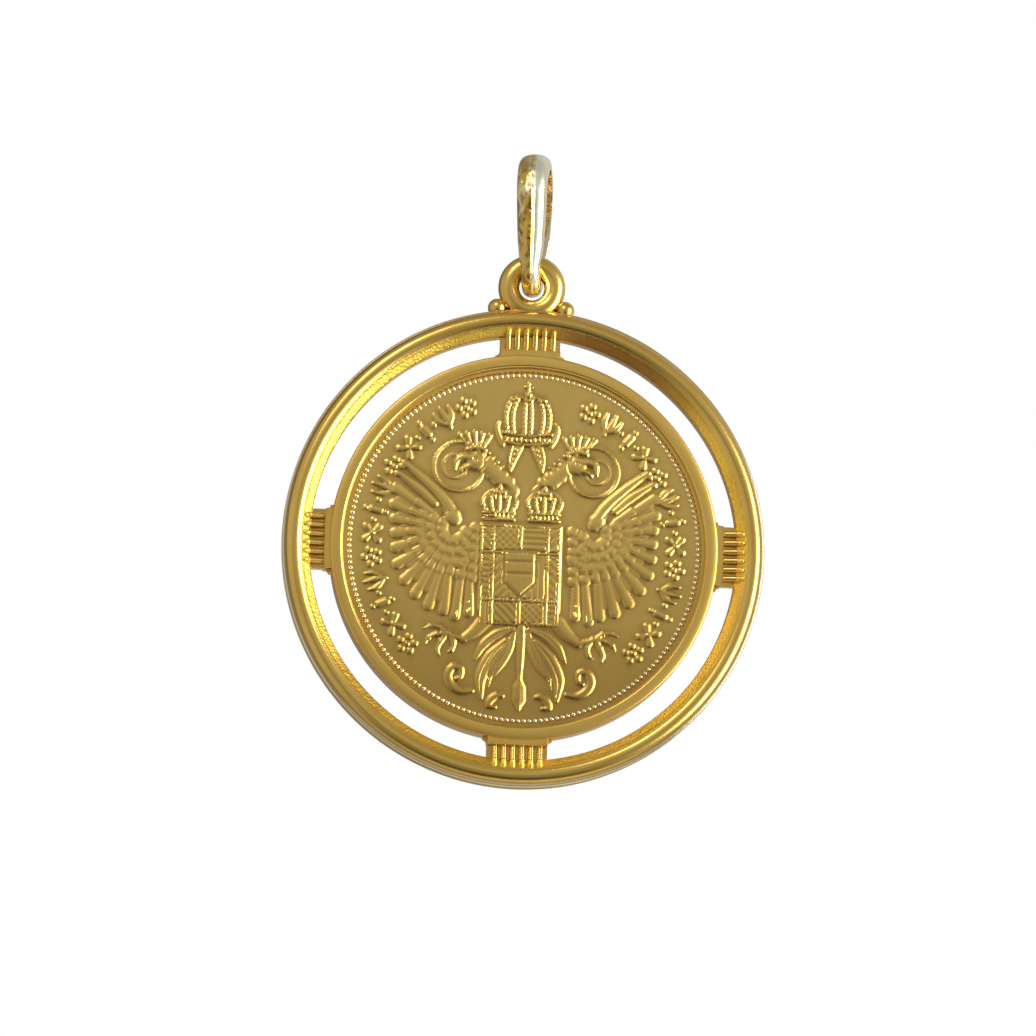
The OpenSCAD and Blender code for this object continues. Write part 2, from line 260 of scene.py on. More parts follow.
class Look(Tree):
    """A material with one Principled shader."""

    def __init__(self, name):
        self.material = bpy.data.materials.new(name)
        self.material.use_nodes = True
        super().__init__(self.material.node_tree)
        self.shader = self.tree.nodes["Principled BSDF"]

    def finish(self, colour, rough, normal, coat=0.0, metallic=1.0):
        """Connects the shader and returns the material."""
        values = {
            "Base Color": colour,
            "Roughness": rough,
            "Metallic": metallic,
            "Coat Weight": coat,
            "Coat Roughness": 0.1,
            "Normal": normal,
        }
        for key, value in values.items():
            self.put(self.shader.inputs[key], value)
        return self.material


class Steps(Tree):
    """A Geometry Nodes tree with named inputs, for something round that faces the front."""

    def __init__(self, name, **inputs):
        super().__init__(bpy.data.node_groups.new(name, "GeometryNodeTree"))
        self.names = {}
        face = self.tree.interface
        face.new_socket(name="Geometry", in_out="INPUT", socket_type="NodeSocketGeometry")
        for label, kind in {**inputs, "Middle": "Vector", "Material": "Material"}.items():
            socket = face.new_socket(name=label, in_out="INPUT", socket_type="NodeSocket" + kind)
            self.names[label] = socket.identifier
        face.new_socket(name="Geometry", in_out="OUTPUT", socket_type="NodeSocketGeometry")
        self.source = self.tree.nodes.new("NodeGroupInput")
        self.sink = self.tree.nodes.new("NodeGroupOutput")

    def given(self, label):
        """A named input of the tree."""
        return Wire(self, self.source.outputs[label])

    def shape(self, kind, settings=None, **inputs):
        """Adds a geometry node, whose sockets are named by words with _ for each space."""
        sockets = {key.replace("_", " "): value for key, value in inputs.items()}
        return self.node("GeometryNode" + kind, settings, sockets)

    def joined(self, *shapes):
        """Several geometries as one."""
        node = self.tree.nodes.new("GeometryNodeJoinGeometry")
        for shape in shapes:
            self.put(node.inputs[0], shape)
        return Wire(self, node.outputs[0])

    def end(self, flat):
        """Stands the flat shape up at its middle, and ends the tree with plain geometry and its material."""
        stood = self.shape(
            "Transform", Geometry=flat, Rotation=(math.pi / 2, 0, 0), Translation=self.given("Middle")
        )
        whole = self.shape("RealizeInstances", Geometry=stood)
        done = self.shape("SetMaterial", Geometry=whole, Material=self.given("Material"))
        self.put(self.sink.inputs[0], done)
        return self

    def run(self, piece, values):
        """Runs the tree on a piece and leaves it with the result as a plain mesh."""
        modifier = piece.modifiers.new(self.tree.name, "NODES")
        modifier.node_group = self.tree
        for label, value in values.items():
            modifier[self.names[label]] = value
        graph = bpy.context.evaluated_depsgraph_get()
        made = bpy.data.meshes.new_from_object(piece.evaluated_get(graph))
        before = piece.data
        piece.modifiers.clear()
        piece.data = made
        bpy.data.meshes.remove(before)
        made.name = piece.name


# Mesh helpers


def piece_from(name, points, faces, material=None, crease=35):
    """A smooth-shaded piece from points in millimetres, with edges sharper than crease kept hard."""
    mesh = bpy.data.meshes.new(name)
    mesh.from_pydata((np.asarray(points, float) * MM).tolist(), [], faces)
    mesh.update()
    made = bpy.data.objects.new(name, mesh)
    bpy.context.scene.collection.objects.link(made)
    if material is not None:
        mesh.materials.append(material)
    soften(made, crease)
    return made


def soften(piece, crease=35):
    """Shades a piece smoothly, apart from edges sharper than crease."""
    mesh = piece.data
    mesh.polygons.foreach_set("use_smooth", np.ones(len(mesh.polygons), bool))
    mesh.set_sharp_from_angle(angle=math.radians(crease))
    mesh.update()


def line_piece(name, outline):
    """A closed line of edges in the XY plane, for a section that Geometry Nodes sweep."""
    mesh = bpy.data.meshes.new(name)
    count = len(outline)
    points = [(x * MM, y * MM, 0) for x, y in outline]
    mesh.from_pydata(points, [(i, (i + 1) % count) for i in range(count)], [])
    made = bpy.data.objects.new(name, mesh)
    bpy.context.scene.collection.objects.link(made)
    return made


def rounded(corners, steps=4):
    """A closed outline whose corners are rounded: each corner is (x, y, how far back the round begins)."""
    out = []
    count = len(corners)
    for i, (x, y, back) in enumerate(corners):
        here = Vector((x, y))
        if back <= 0:
            out.append(tuple(here))
            continue
        before = Vector(corners[i - 1][:2]) - here
        after = Vector(corners[(i + 1) % count][:2]) - here
        start = here + before.normalized() * min(back, before.length * 0.49)
        end = here + after.normalized() * min(back, after.length * 0.49)
        for k in range(steps + 1):
            t = k / steps
            out.append(tuple(start * (1 - t) ** 2 + here * 2 * t * (1 - t) + end * t * t))
    return out


def both_halves(upper):
    """An upper half outline, and its mirror image below that closes it."""
    return upper + [(x, -y, *rest) for x, y, *rest in reversed(upper)]


def skin(rows, count, first=0, closed=False):
    """Faces between rows of count points each. A closed skin also runs from the last row to the first."""
    faces = []
    for row in range(rows if closed else rows - 1):
        low = first + row * count
        high = first + (row + 1) % rows * count
        for k in range(count):
            m = (k + 1) % count
            faces.append((low + k, low + m, high + m, high + k))
    return faces


def tube(rows, count, first=0):
    """A skin with a face over each end."""
    start = tuple(range(first, first + count))
    end = tuple(k + (rows - 1) * count for k in start)
    return [*skin(rows, count, first), start[::-1], end]


# Gold


def tone(colour, red, green, blue):
    """A colour with its three parts made stronger or weaker."""
    return (colour[0] * red, colour[1] * green, colour[2] * blue, 1.0)


def frame_gold():
    """Polished gold, with a sandy flank inside the ring's dome whose top is painted shade brown, a painted
    shade line in the groove by the edge, and a pale painted reflection on the edge outside the dome.
    """
    name = "polished frame gold"
    if name in bpy.data.materials:
        return bpy.data.materials[name]
    looks = bpy.context.scene.pendant_looks
    gold = looks.frame_gold
    look = Look(name)
    place = look.place()
    x, _, z = look.parts(place)
    x = x / MM
    z = (z - COIN_Z) / MM
    radius = (x * x + z * z) ** 0.5
    flank = look.band(radius, 13.28, 13.32, 13.82, 13.92)
    face = look.band(radius, 11.36, 11.42, 12.3, 12.45)
    # painted reflection: a pale silvery band on the outer edge, weaker towards the top
    edge = look.band(radius, 14.79, 14.84, 15.01, 15.06) * look.step(z, 0.0, 11.0, 1.0, 0.3)
    # painted shade: a dark line in the groove just inside the outer edge
    seam = look.band(radius, 14.7, 14.74, 14.78, 14.82)
    sand = look.noise(place, 6500, 2.0, 0.6)
    grains = look.cells(place, 5200)
    smear = look.noise(place, 320, 4.0)
    scratch = look.noise(look.stretched(place, (1, 1, 9)), 900, 2.0, 0.7)
    patches = look.step(look.noise(place, 160, 2.0), 0.5, 0.66)
    # painted shade: the top of the flank, which lies in shade, is painted brown
    painted_top_shade = look.step(z, 7.0, 12.0) * look.step(x, -3.0, 4.0)
    deep = tone(gold, 0.84, 0.76, 0.55)
    rich = tone(gold, 1.16, 1.26, 0.9)
    shade_and_patch_brown = tone(gold, 0.5, 0.4, 0.32)
    reflection_silver = tone(gold, 1.04, 1.28, 3.2)
    colour = look.mix(look.limit(smear * 1.6 - 0.5), (*gold, 1.0), deep)
    # the flank is yellow, turned to painted shade brown at its top and to brown in random patches
    colour = look.mix(flank, colour, look.mix(look.limit(painted_top_shade + patches * 0.3), rich, shade_and_patch_brown))
    # painted reflection of the pale room on the outer edge
    colour = look.mix(edge * 0.9, colour, reflection_silver)
    # painted shade darkens the groove
    colour = look.mix(seam * 0.6, colour, shade_and_patch_brown)
    plain = smear * 0.14 + (looks.frame_rough - 0.07) + face * 0.09 - edge * 0.06
    rough = plain * (1 - flank) + flank * looks.sand_rough
    fine = look.bump(scratch, 0.000004, 0.4)
    sandy = look.bump((sand + grains * 0.8) * flank, 0.00003, 0.9, fine)
    return look.finish(colour, rough, sandy, coat=0.12)


def coin_gold():
    """Satin struck gold, with painted shade in the recesses beside the relief and painted shade a little
    browner low down.
    """
    looks = bpy.context.scene.pendant_looks
    gold = looks.coin_gold
    look = Look("struck coin gold")
    place = look.place()
    smear = look.noise(place, 260, 4.0, 0.6)
    grain = look.noise(place, 5200, 2.0, 0.6)
    _, _, z = look.parts(place)
    # painted shade: the coin's lower part darker and browner
    low = look.step((z - COIN_Z) / MM, -11.0, 2.0, 1.0, 0.0)
    colour = look.mix(look.limit(smear * 1.4 - 0.4), (*gold, 1.0), tone(gold, 1.05, 1.08, 1.3))
    colour = look.mix(low, colour, tone(gold, 0.72, 0.68, 0.64))
    # painted shade: darker where points lie in the recesses beside the relief
    colour = look.mix(look.attribute("recess"), colour, tone(gold, 0.52, 0.46, 0.4))
    rough = smear * 0.14 + (looks.coin_rough - 0.07)
    uneven = look.bump(smear, 0.00003, 0.25)
    satin = look.bump(grain, 0.000006, 0.5, uneven)
    return look.finish(colour, rough, satin, coat=0.1)


def bead_gold():
    """The coin's gold painted pale on the beads, as a painted highlight."""
    gold = bpy.context.scene.pendant_looks.coin_gold
    look = Look("rubbed bead gold")
    smear = look.noise(look.place(), 420, 3.0)
    # painted highlight: near-white gold, with plain gold in random patches
    colour = look.mix(look.limit(smear * 1.4 - 0.5), tone(gold, 1.12, 1.55, 4.0), (*gold, 1.0))
    return look.finish(colour, smear * 0.12 + 0.16, look.bump(smear, 0.00001, 0.2), coat=0.4)


def bail_gold():
    """Pale polished gold, dented, with brown marks along one side, the other side and the inside painted
    paler as lit, and a painted highlight strip along that side.
    """
    looks = bpy.context.scene.pendant_looks
    gold = looks.bail_gold
    look = Look("polished bail gold")
    place = look.place()
    across = look.attribute("across")
    worn = look.step(across, 0.05, 0.3, 1.0, 0.1)
    middle = look.band(across, -0.95, -0.6, -0.1, 0.4)
    painted_highlight = look.band(across, 0.05, 0.3, 0.7, 0.95)
    dents = look.cells(look.stretched(place, (1, 1, 0.7)), 1250, "SMOOTH_F1")
    small = look.cells(place, 2600, "SMOOTH_F1")
    marks = look.noise(look.stretched(place, (2, 2, 1)), 950, 4.0, 0.7)
    patches = look.noise(look.stretched(place, (1, 1, 0.6)), 560, 3.0, 0.6)
    lit_side_pale = tone(gold, 1.03, 1.12, 1.5)
    highlight_white = tone(gold, 1.18, 1.34, 2.2)
    warm = tone(gold, 0.8, 0.62, 0.26)
    dark = tone(gold, 0.42, 0.3, 0.16)
    # painted light: the band's right side, and its inside, painted paler where light falls
    colour = look.mix(look.step(across, -0.2, 0.8), (*gold, 1.0), lit_side_pale)
    # painted highlight: a near-white strip along the right of the band
    colour = look.mix(painted_highlight * 0.9, colour, highlight_white)
    colour = look.mix(look.step(patches, 0.36, 0.5) * middle, colour, warm)
    colour = look.mix(look.step(marks, 0.52, 0.62) * middle * 0.85, colour, dark)
    rough = worn * marks * 0.3 + painted_highlight * 0.2 + (looks.bail_rough - 0.02)
    shape = look.bump((dents + small * 0.5) * worn, 0.00032, 0.8)
    shape = look.bump(marks * worn, 0.00008, 0.5, shape)
    return look.finish(colour, rough, shape, coat=0.5)


# The coin's struck design


class Relief:
    """Heights of the struck design at given points: millimetres across, shares of the full relief up.

    A side of -1 mirrors what is struck next, and shift moves it sideways.
    """

    def __init__(self, x, y):
        self.x = x
        self.y = y
        self.high = np.zeros_like(x)
        self.side = 1
        self.shift = 0.0

    def near(self, low, high):
        """The points in a box: their numbers and places."""
        x = (self.x - self.shift) * self.side
        inside = (x > low[0]) & (x < high[0]) & (self.y > low[1]) & (self.y < high[1])
        found = np.nonzero(inside)[0]
        return found, x[found], self.y[found]

    def along(self, a, b, reach):
        """Points near the line from a to b: their place along it, and how far they are beside it."""
        low = (min(a[0], b[0]) - reach, min(a[1], b[1]) - reach)
        high = (max(a[0], b[0]) + reach, max(a[1], b[1]) + reach)
        found, x, y = self.near(low, high)
        dx, dy = b[0] - a[0], b[1] - a[1]
        run = max(dx * dx + dy * dy, 1e-9)
        t = np.clip(((x - a[0]) * dx + (y - a[1]) * dy) / run, 0, 1)
        off_x, off_y = x - a[0] - t * dx, y - a[1] - t * dy
        beside = (off_y * dx - off_x * dy) / math.sqrt(run)
        return found, t, np.hypot(off_x, off_y), beside

    def lift(self, found, height):
        """Raises points to a height, and lowers none."""
        self.high[found] = np.maximum(self.high[found], height)

    def stroke(self, a, b, ra, rb, ha, hb=None, blunt=0.75):
        """A rounded ridge from a to b, whose half width goes from ra to rb and whose height from ha to hb."""
        hb = ha if hb is None else hb
        found, t, off, _ = self.along(a, b, max(ra, rb))
        r = ra + (rb - ra) * t
        body = np.clip(1 - (off / r) ** 2.5, 0, 1) ** blunt
        self.lift(found, body * (ha + (hb - ha) * t))

    def cut(self, a, b, r, depth):
        """An engraved line."""
        found, _, off, _ = self.along(a, b, r)
        groove = np.clip(1 - (off / r) ** 2, 0, 1) * depth
        self.high[found] = np.maximum(self.high[found] - groove, 0)

    def press(self, at, r, level):
        """Flattens a round patch, so that what is struck there next stands in front."""
        found, _, off, _ = self.along(at, at, r)
        ceiling = level + np.clip(off / r - 0.8, 0, 1) * 5
        self.high[found] = np.minimum(self.high[found], ceiling)

    def pellet(self, at, r, height, blunt=0.6):
        """A round dot."""
        self.stroke(at, at, r, r, height, blunt=blunt)

    def sweep(self, points, widths, height, end=None, blunt=0.75):
        """A smooth curve through points whose half width follows widths."""
        path = curve_through(points)
        spread = np.interp(np.linspace(0, 1, len(path)), np.linspace(0, 1, len(widths)), widths)
        rise = np.linspace(height, height if end is None else end, len(path))
        for i in range(len(path) - 1):
            self.stroke(path[i], path[i + 1], spread[i], spread[i + 1], rise[i], rise[i + 1], blunt)

    def groove(self, points, r, depth):
        """An engraved smooth curve."""
        path = curve_through(points)
        for i in range(len(path) - 1):
            self.cut(path[i], path[i + 1], r, depth)

    def feather(self, a, b, ra, rb, ha, hb, barbs=3):
        """A long feather with a quill and barbs beside it, rounded at its tip."""
        found, t, off, beside = self.along(a, b, max(ra, rb))
        r = ra + (rb - ra) * t
        u = np.clip(beside / r, -1, 1)
        body = np.clip(1 - (off / r) ** 2.2, 0, 1) ** 0.6
        lines = 0.8 + 0.2 * np.cos(2 * math.pi * barbs * u)
        self.lift(found, body * lines * (ha + (hb - ha) * t))

    def scale(self, at, r, degrees, height):
        """A small overlapping feather: a dome that falls away behind, with a line inside its edge."""
        towards = math.radians(degrees)
        found, x, y = self.near((at[0] - r, at[1] - r), (at[0] + r, at[1] + r))
        px, py = (x - at[0]) / r, (y - at[1]) / r
        off = np.hypot(px, py)
        front = px * math.cos(towards) + py * math.sin(towards)
        body = np.clip(1 - off**2, 0, 1) ** 0.45 * (0.8 + 0.25 * front)
        line = 0.14 * np.exp(-(((off - 0.68) / 0.12) ** 2)) * (front > 0)
        self.lift(found, height * (body - line))

    def slab(self, outline, height, bevel, cover=False):
        """A raised plate with a convex outline. With cover it hides what is struck under it."""
        pts = np.array(outline, float)
        found, x, y = self.near(pts.min(0), pts.max(0))
        turn = np.sign(np.sum(pts[:, 0] * np.roll(pts[:, 1], -1) - np.roll(pts[:, 0], -1) * pts[:, 1]))
        inside = np.full(len(found), 9.0)
        for i in range(len(pts)):
            a, b = pts[i], pts[(i + 1) % len(pts)]
            edge = (b - a) / np.hypot(*(b - a)) * turn
            inside = np.minimum(inside, (y - a[1]) * edge[0] - (x - a[0]) * edge[1])
        if cover:
            self.high[found[inside > 0]] = 0.3
        self.lift(found, height * np.clip(inside / bevel, 0, 1))

    def circlet(self, mid, radius, half, height):
        """A raised ring."""
        reach = radius + half
        found, x, y = self.near((mid[0] - reach, mid[1] - reach), (mid[0] + reach, mid[1] + reach))
        off = np.abs(np.hypot(x - mid[0], y - mid[1]) - radius) / half
        self.lift(found, height * np.clip(1 - off**2, 0, 1) ** 0.75)


def curve_through(points, spacing=0.16):
    """Points close together on a smooth curve through the given ones."""
    pts = [np.array(p, float) for p in points]
    if len(pts) == 2:
        pts = [pts[0], (pts[0] + pts[1]) / 2, pts[1]]
    ends = [2 * pts[0] - pts[1], *pts, 2 * pts[-1] - pts[-2]]
    out = []
    for i in range(1, len(ends) - 2):
        p0, p1, p2, p3 = ends[i - 1 : i + 3]
        count = max(2, int(np.hypot(*(p2 - p1)) / spacing))
        for k in range(count):
            t = k / count
            square = (2 * p0 - 5 * p1 + 4 * p2 - p3) * t * t
            cube = (3 * p1 - p0 - 3 * p2 + p3) * t**3
            out.append(0.5 * (2 * p1 + (p2 - p0) * t + square + cube))
    out.append(pts[-1])
    return out


def polar(mid, radius, degrees):
    """The point at a distance from mid in a direction."""
    a = math.radians(degrees)
    return (mid[0] + radius * math.cos(a), mid[1] + radius * math.sin(a))


WING_TIPS = (
    (33, 4.7), (20, 4.3), (7, 4.0), (-7, 3.95), (-21, 4.15),
    (-35, 4.5), (-49, 4.8), (-62, 5.1), (-74, 5.4), (-85, 5.5),
)


def strike_wing(relief):
    """Long feathers that fan out from the shoulder, with rows of small ones over their roots."""
    fan = (4.4, 1.0)
    for angle, reach in WING_TIPS[:-1]:
        gap = angle - 6.7
        relief.feather(polar(fan, 1.9, gap), polar(fan, reach - 0.9, gap), 0.18, 0.26, 0.3, 0.42, 2)
    for angle, reach in WING_TIPS:
        relief.feather(polar(fan, 1.9, angle), polar(fan, reach - 0.33, angle), 0.2, 0.36, 0.5, 0.82)
    for k in range(10):
        angle = 34 - 13.5 * k
        relief.feather(polar(fan, 1.5, angle), polar(fan, 2.75, angle), 0.2, 0.32, 0.6, 0.9, 2)
    for row, (radius, count, r) in enumerate(((2.05, 10, 0.46), (1.4, 8, 0.44), (0.75, 6, 0.42))):
        for k in range(count):
            angle = 22 - (150 / (count - 1)) * k
            relief.scale(polar(fan, radius, angle), r, angle, 0.84 + 0.06 * row)
    relief.feather((3.75, -1.3), (4.15, -4.45), 0.2, 0.34, 0.5, 0.8)
    relief.feather((3.3, -1.5), (3.3, -4.2), 0.2, 0.34, 0.5, 0.8)
    for k in range(6):
        relief.scale((3.02 + 0.03 * k, 1.1 - 0.62 * k), 0.38, -70, 0.84)
    for k in range(5):
        relief.scale((3.6 + 0.06 * k, 0.8 - 0.66 * k), 0.42, -60, 0.9)
    relief.sweep(((4.35, 1.6), (5.1, 2.8), (6.3, 3.95), (7.6, 5.0)), (0.44, 0.36, 0.32, 0.2), 0.9, 0.8)
    relief.sweep(((5.6, 2.5), (6.6, 3.4), (7.9, 4.3)), (0.22, 0.28, 0.16), 0.74)
    relief.groove(((4.7, 1.8), (5.5, 2.85), (6.5, 3.8), (7.4, 4.6)), 0.09, 0.3)
    relief.pellet((4.5, 1.8), 0.5, 0.95, 0.5)


def strike_head(relief):
    """A neck that leans outwards, a head with its crown, and two halo lines round it."""
    relief.circlet((4.2, 4.9), 1.55, 0.09, 0.62)
    relief.circlet((4.45, 4.9), 0.75, 0.07, 0.4)
    for k in range(4):
        relief.press((2.7 + 0.25 * k, 5.15 + 0.03 * k), 0.62, 0.1)
    neck = ((0.8, 3.5), (1.3, 3.95), (1.9, 4.5), (2.5, 5.0), (3.05, 5.25))
    relief.sweep(neck, (0.42, 0.5, 0.54, 0.5, 0.44), 0.72, 0.9)
    for k in range(4):
        for m in (-1, 1):
            at = (1.2 + 0.42 * k + 0.2 * m, 3.95 + 0.36 * k - 0.2 * m)
            relief.scale(at, 0.3, 225, 0.88)
    relief.press((3.3, 5.2), 0.85, 0.12)
    relief.pellet((3.16, 5.28), 0.58, 1.0, 0.5)
    relief.sweep(((3.4, 5.5), (3.95, 5.52), (4.35, 5.25), (4.42, 4.75)), (0.28, 0.25, 0.19, 0.06), 1.0, 0.9)
    relief.sweep(((3.4, 5.0), (3.8, 4.88), (4.1, 4.66)), (0.19, 0.15, 0.06), 0.92)
    relief.cut((3.14, 5.42), (3.26, 5.42), 0.14, 0.55)
    relief.pellet((3.2, 5.42), 0.09, 0.95)
    for k in range(4):
        x, y = 2.75 - 0.3 * k, 5.6 - 0.27 * k
        relief.sweep(((x, y), (x - 0.16, y + 0.2), (x - 0.42, y + 0.24)), (0.13, 0.06), 0.75)
    relief.sweep(((2.6, 6.0), (3.15, 6.15), (3.75, 6.0)), (0.13,), 0.85)
    for k in range(5):
        lean = 0.3 * (k - 2)
        drop = 0.3 * abs(lean)
        relief.stroke((3.18 + 0.8 * lean, 6.2), (3.25 + 1.5 * lean, 6.95 - drop), 0.08, 0.1, 0.65)
        relief.pellet((3.27 + 1.6 * lean, 7.1 - drop), 0.14, 0.9)
    for k in range(5):
        relief.pellet((2.75 + 0.22 * k, 6.36), 0.1, 0.9)


def strike_small_crown(relief, mid):
    """A crown of five beaded bands over the eagle's breast."""
    for k in range(5):
        relief.press((mid, 1.75 + 0.32 * k), 1.02, 0.12)
    for lean in (-1.0, -0.5, 0.0, 0.5, 1.0):
        band = ((mid + 0.8 * lean, 2.2), (mid + 1.08 * lean, 2.8), (mid + 0.66 * lean, 3.4), (mid, 3.6))
        relief.sweep(band, (0.09,), 0.4)
        for k in range(5):
            spot = (mid + (0.84 + 0.22 * math.sin(k * 0.8) - 0.13 * k * (k > 2)) * lean, 2.3 + 0.27 * k)
            relief.pellet(spot, 0.115, 0.98)
    for level in (1.72, 2.12):
        relief.stroke((mid - 0.92, level), (mid + 0.92, level), 0.09, 0.09, 0.85)
    for k in range(7):
        relief.pellet((mid - 0.78 + 0.26 * k, 1.92), 0.09, 0.98)
    relief.pellet((mid, 3.68), 0.16, 0.95)
    relief.stroke((mid, 3.75), (mid, 4.08), 0.06, 0.06, 0.75)
    relief.stroke((mid - 0.15, 3.94), (mid + 0.15, 3.94), 0.06, 0.06, 0.75)


def strike_leg(relief):
    """A feathered thigh, a shank and four toes with their claws."""
    relief.sweep(((2.2, -4.6), (2.9, -5.4), (3.6, -5.9)), (0.5, 0.42, 0.26), 0.7)
    for k in range(4):
        relief.scale((2.5 + 0.28 * k, -5.0 - 0.22 * k), 0.24, -40, 0.8)
    relief.sweep(((3.5, -5.9), (4.1, -5.75), (4.6, -5.6)), (0.22, 0.18, 0.2), 0.75)
    toes = (
        ((4.6, -5.6), (5.1, -5.2), (5.6, -5.15), (6.0, -5.35)),
        ((4.6, -5.6), (5.2, -5.65), (5.7, -5.9), (5.9, -6.25)),
        ((4.6, -5.6), (4.95, -6.1), (5.15, -6.6), (5.0, -7.0)),
        ((4.5, -5.55), (4.15, -6.1), (4.25, -6.6), (4.5, -6.75)),
    )
    for toe in toes:
        relief.sweep(toe, (0.17, 0.15, 0.13, 0.04), 0.78, 0.6)
        relief.pellet(toe[1], 0.17, 0.82)
        relief.pellet(toe[2], 0.14, 0.78)


def strike_leaf(relief, points, width, height):
    """A long leaf of the tail, with a groove along its middle."""
    relief.sweep(points, (width * 0.45, width, width * 0.95, width * 0.25), height)
    relief.groove(points, width * 0.22, 0.26)


def strike_tail_side(relief):
    """Four leaves of the tail on one side, with a rolled tip and a small one below."""
    strike_leaf(relief, ((0.4, -5.2), (0.7, -6.4), (1.2, -7.4), (1.75, -8.2)), 0.26, 0.6)
    strike_leaf(relief, ((0.9, -5.9), (1.8, -6.9), (2.4, -8.2), (2.35, -9.5)), 0.42, 0.74)
    strike_leaf(relief, ((0.5, -5.1), (1.5, -5.5), (2.3, -6.2), (2.8, -7.1)), 0.3, 0.68)
    strike_leaf(relief, ((0.55, -5.6), (1.15, -6.6), (1.7, -7.6), (1.95, -8.8)), 0.2, 0.6)
    roll = (
        (2.9, -9.1), (3.6, -9.15), (4.2, -8.8), (4.45, -8.2),
        (4.15, -7.65), (3.65, -7.75), (3.65, -8.25), (3.95, -8.4),
    )
    relief.sweep(roll, (0.12, 0.2, 0.26, 0.28, 0.26, 0.22, 0.16, 0.12), 0.7)
    curl = ((1.0, -9.35), (1.35, -9.3), (1.7, -9.55), (1.9, -9.95), (1.45, -10.05))
    relief.sweep(curl, (0.1, 0.22, 0.26, 0.2, 0.1), 0.7)


def strike_tail(relief):
    """The quill and the tip in the middle of the tail."""
    relief.sweep(((0, -5.0), (0, -6.4), (0, -7.8), (0, -8.5)), (0.26, 0.26, 0.2, 0.1), 0.8)
    relief.sweep(((0, -8.1), (0, -8.8), (0, -9.5), (0, -10.2)), (0.08, 0.4, 0.44, 0.05), 0.78)
    relief.cut((0, -5.3), (0, -8.0), 0.07, 0.25)
    relief.sweep(((0, -8.5), (0, -9.1), (0, -9.6), (0, -9.95)), (0.04, 0.22, 0.24, 0.03), 0.95)


SHIELD = (
    (-2.6, 1.5), (-2.6, -4.6), (-2.2, -4.95), (-0.5, -5.02), (0, -5.25),
    (0.5, -5.02), (2.2, -4.95), (2.6, -4.6), (2.6, 1.5),
)


def strike_shield(relief):
    """A shield of a generic kind: hatched quarters in three columns, and a small shield in the middle."""
    relief.slab(SHIELD, 0.6, 0.16)
    found, x, y = relief.near((-2.45, -4.85), (2.45, 1.35))
    columns = (-2.45, -1.7, 0.0, 1.7, 2.45)
    rows = (-4.85, -3.35, -0.35, 1.35)
    column = np.searchsorted(columns, x) - 1
    row = np.searchsorted(rows, y) - 1

    def waves(along, spacing):
        return np.cos(2 * math.pi * along / spacing)

    dots = waves(x, 0.44) * waves(y, 0.44) * 1.4
    charges = (waves(x, 0.36), waves(x + y, 0.54), dots, waves(y, 0.36), waves(x - y, 0.54))
    charge = np.choose((column + 3 * row) % len(charges), charges)
    ground = 0.56 + 0.1 * np.clip(charge, -1, 1)
    line = np.min([*(np.abs(x - at) for at in columns), *(np.abs(y - at) for at in rows)], axis=0)
    relief.high[found] = np.where(line < 0.08, 0.9, np.where(line < 0.15, 0.3, ground))
    small = ((-0.95, -0.3), (-0.95, -2.2), (0, -3.1), (0.95, -2.2), (0.95, -0.3))
    relief.slab([(x * 1.14, (y + 1.6) * 1.12 - 1.6) for x, y in small], 0.4, 0.05, True)
    relief.slab(small, 0.9, 0.1)
    for level in (-0.9, -1.65):
        relief.cut((-0.85, level), (0.85, level), 0.08, 0.3)
    for k in range(3):
        relief.pellet((-0.5 + 0.5 * k, -1.27), 0.15, 1.0)
    relief.stroke((0, -1.9), (0, -2.6), 0.12, 0.08, 1.0)


def strike_great_crown(relief):
    """A tall closed crown of beaded bands, with a cross on top and two beaded ribbons below."""
    for lean in (-1.0, -0.7, -0.15, 0.15, 0.7, 1.0):
        band = ((1.22 * lean, 7.15), (1.36 * lean, 8.0), (1.3 * lean, 8.8), (lean, 9.35))
        relief.sweep(band, (0.12, 0.12, 0.12, 0.1), 0.3)
        for k in range(8):
            t = k / 7
            spot = ((1.24 + 0.16 * math.sin(2.8 * t) - 0.3 * t**3) * lean, 7.27 + 2.0 * t)
            relief.pellet(spot, 0.13, 0.92)
    relief.sweep(((-1.05, 9.3), (-0.4, 9.42), (0, 9.2), (0.4, 9.42), (1.05, 9.3)), (0.1,), 0.8)
    for level in (6.5, 7.05):
        relief.sweep(((-1.5, level + 0.12), (0, level - 0.06), (1.5, level + 0.12)), (0.1,), 0.88)
    for k in range(10):
        relief.pellet((-1.3 + 0.29 * k, 6.74 + 0.02 * abs(k - 4.5)), 0.12, 1.0)
    relief.pellet((0, 9.6), 0.2, 0.9)
    relief.stroke((0, 9.75), (0, 10.35), 0.07, 0.07, 0.8)
    relief.stroke((-0.22, 10.1), (0.22, 10.1), 0.07, 0.07, 0.8)
    for side in (-1, 1):
        relief.sweep(((side * 0.6, 6.3), (side * 0.85, 5.6), (side, 4.85)), (0.34, 0.28, 0.06), 0.45)
        for edge in (-1, 1):
            rim = ((side * 0.6 + edge * 0.3, 6.3), (side * 0.85 + edge * 0.22, 5.6), (side, 4.8))
            relief.sweep(rim, (0.07,), 0.85)
        for k in range(4):
            relief.pellet((side * (0.65 + 0.08 * k), 6.1 - 0.32 * k), 0.12, 0.95)
        curl = ((side * 1.5, 6.4), (side * 1.75, 6.9), (side * 1.9, 7.5), (side * 1.75, 7.85))
        relief.sweep(curl, (0.12, 0.17, 0.14, 0.06), 0.66)


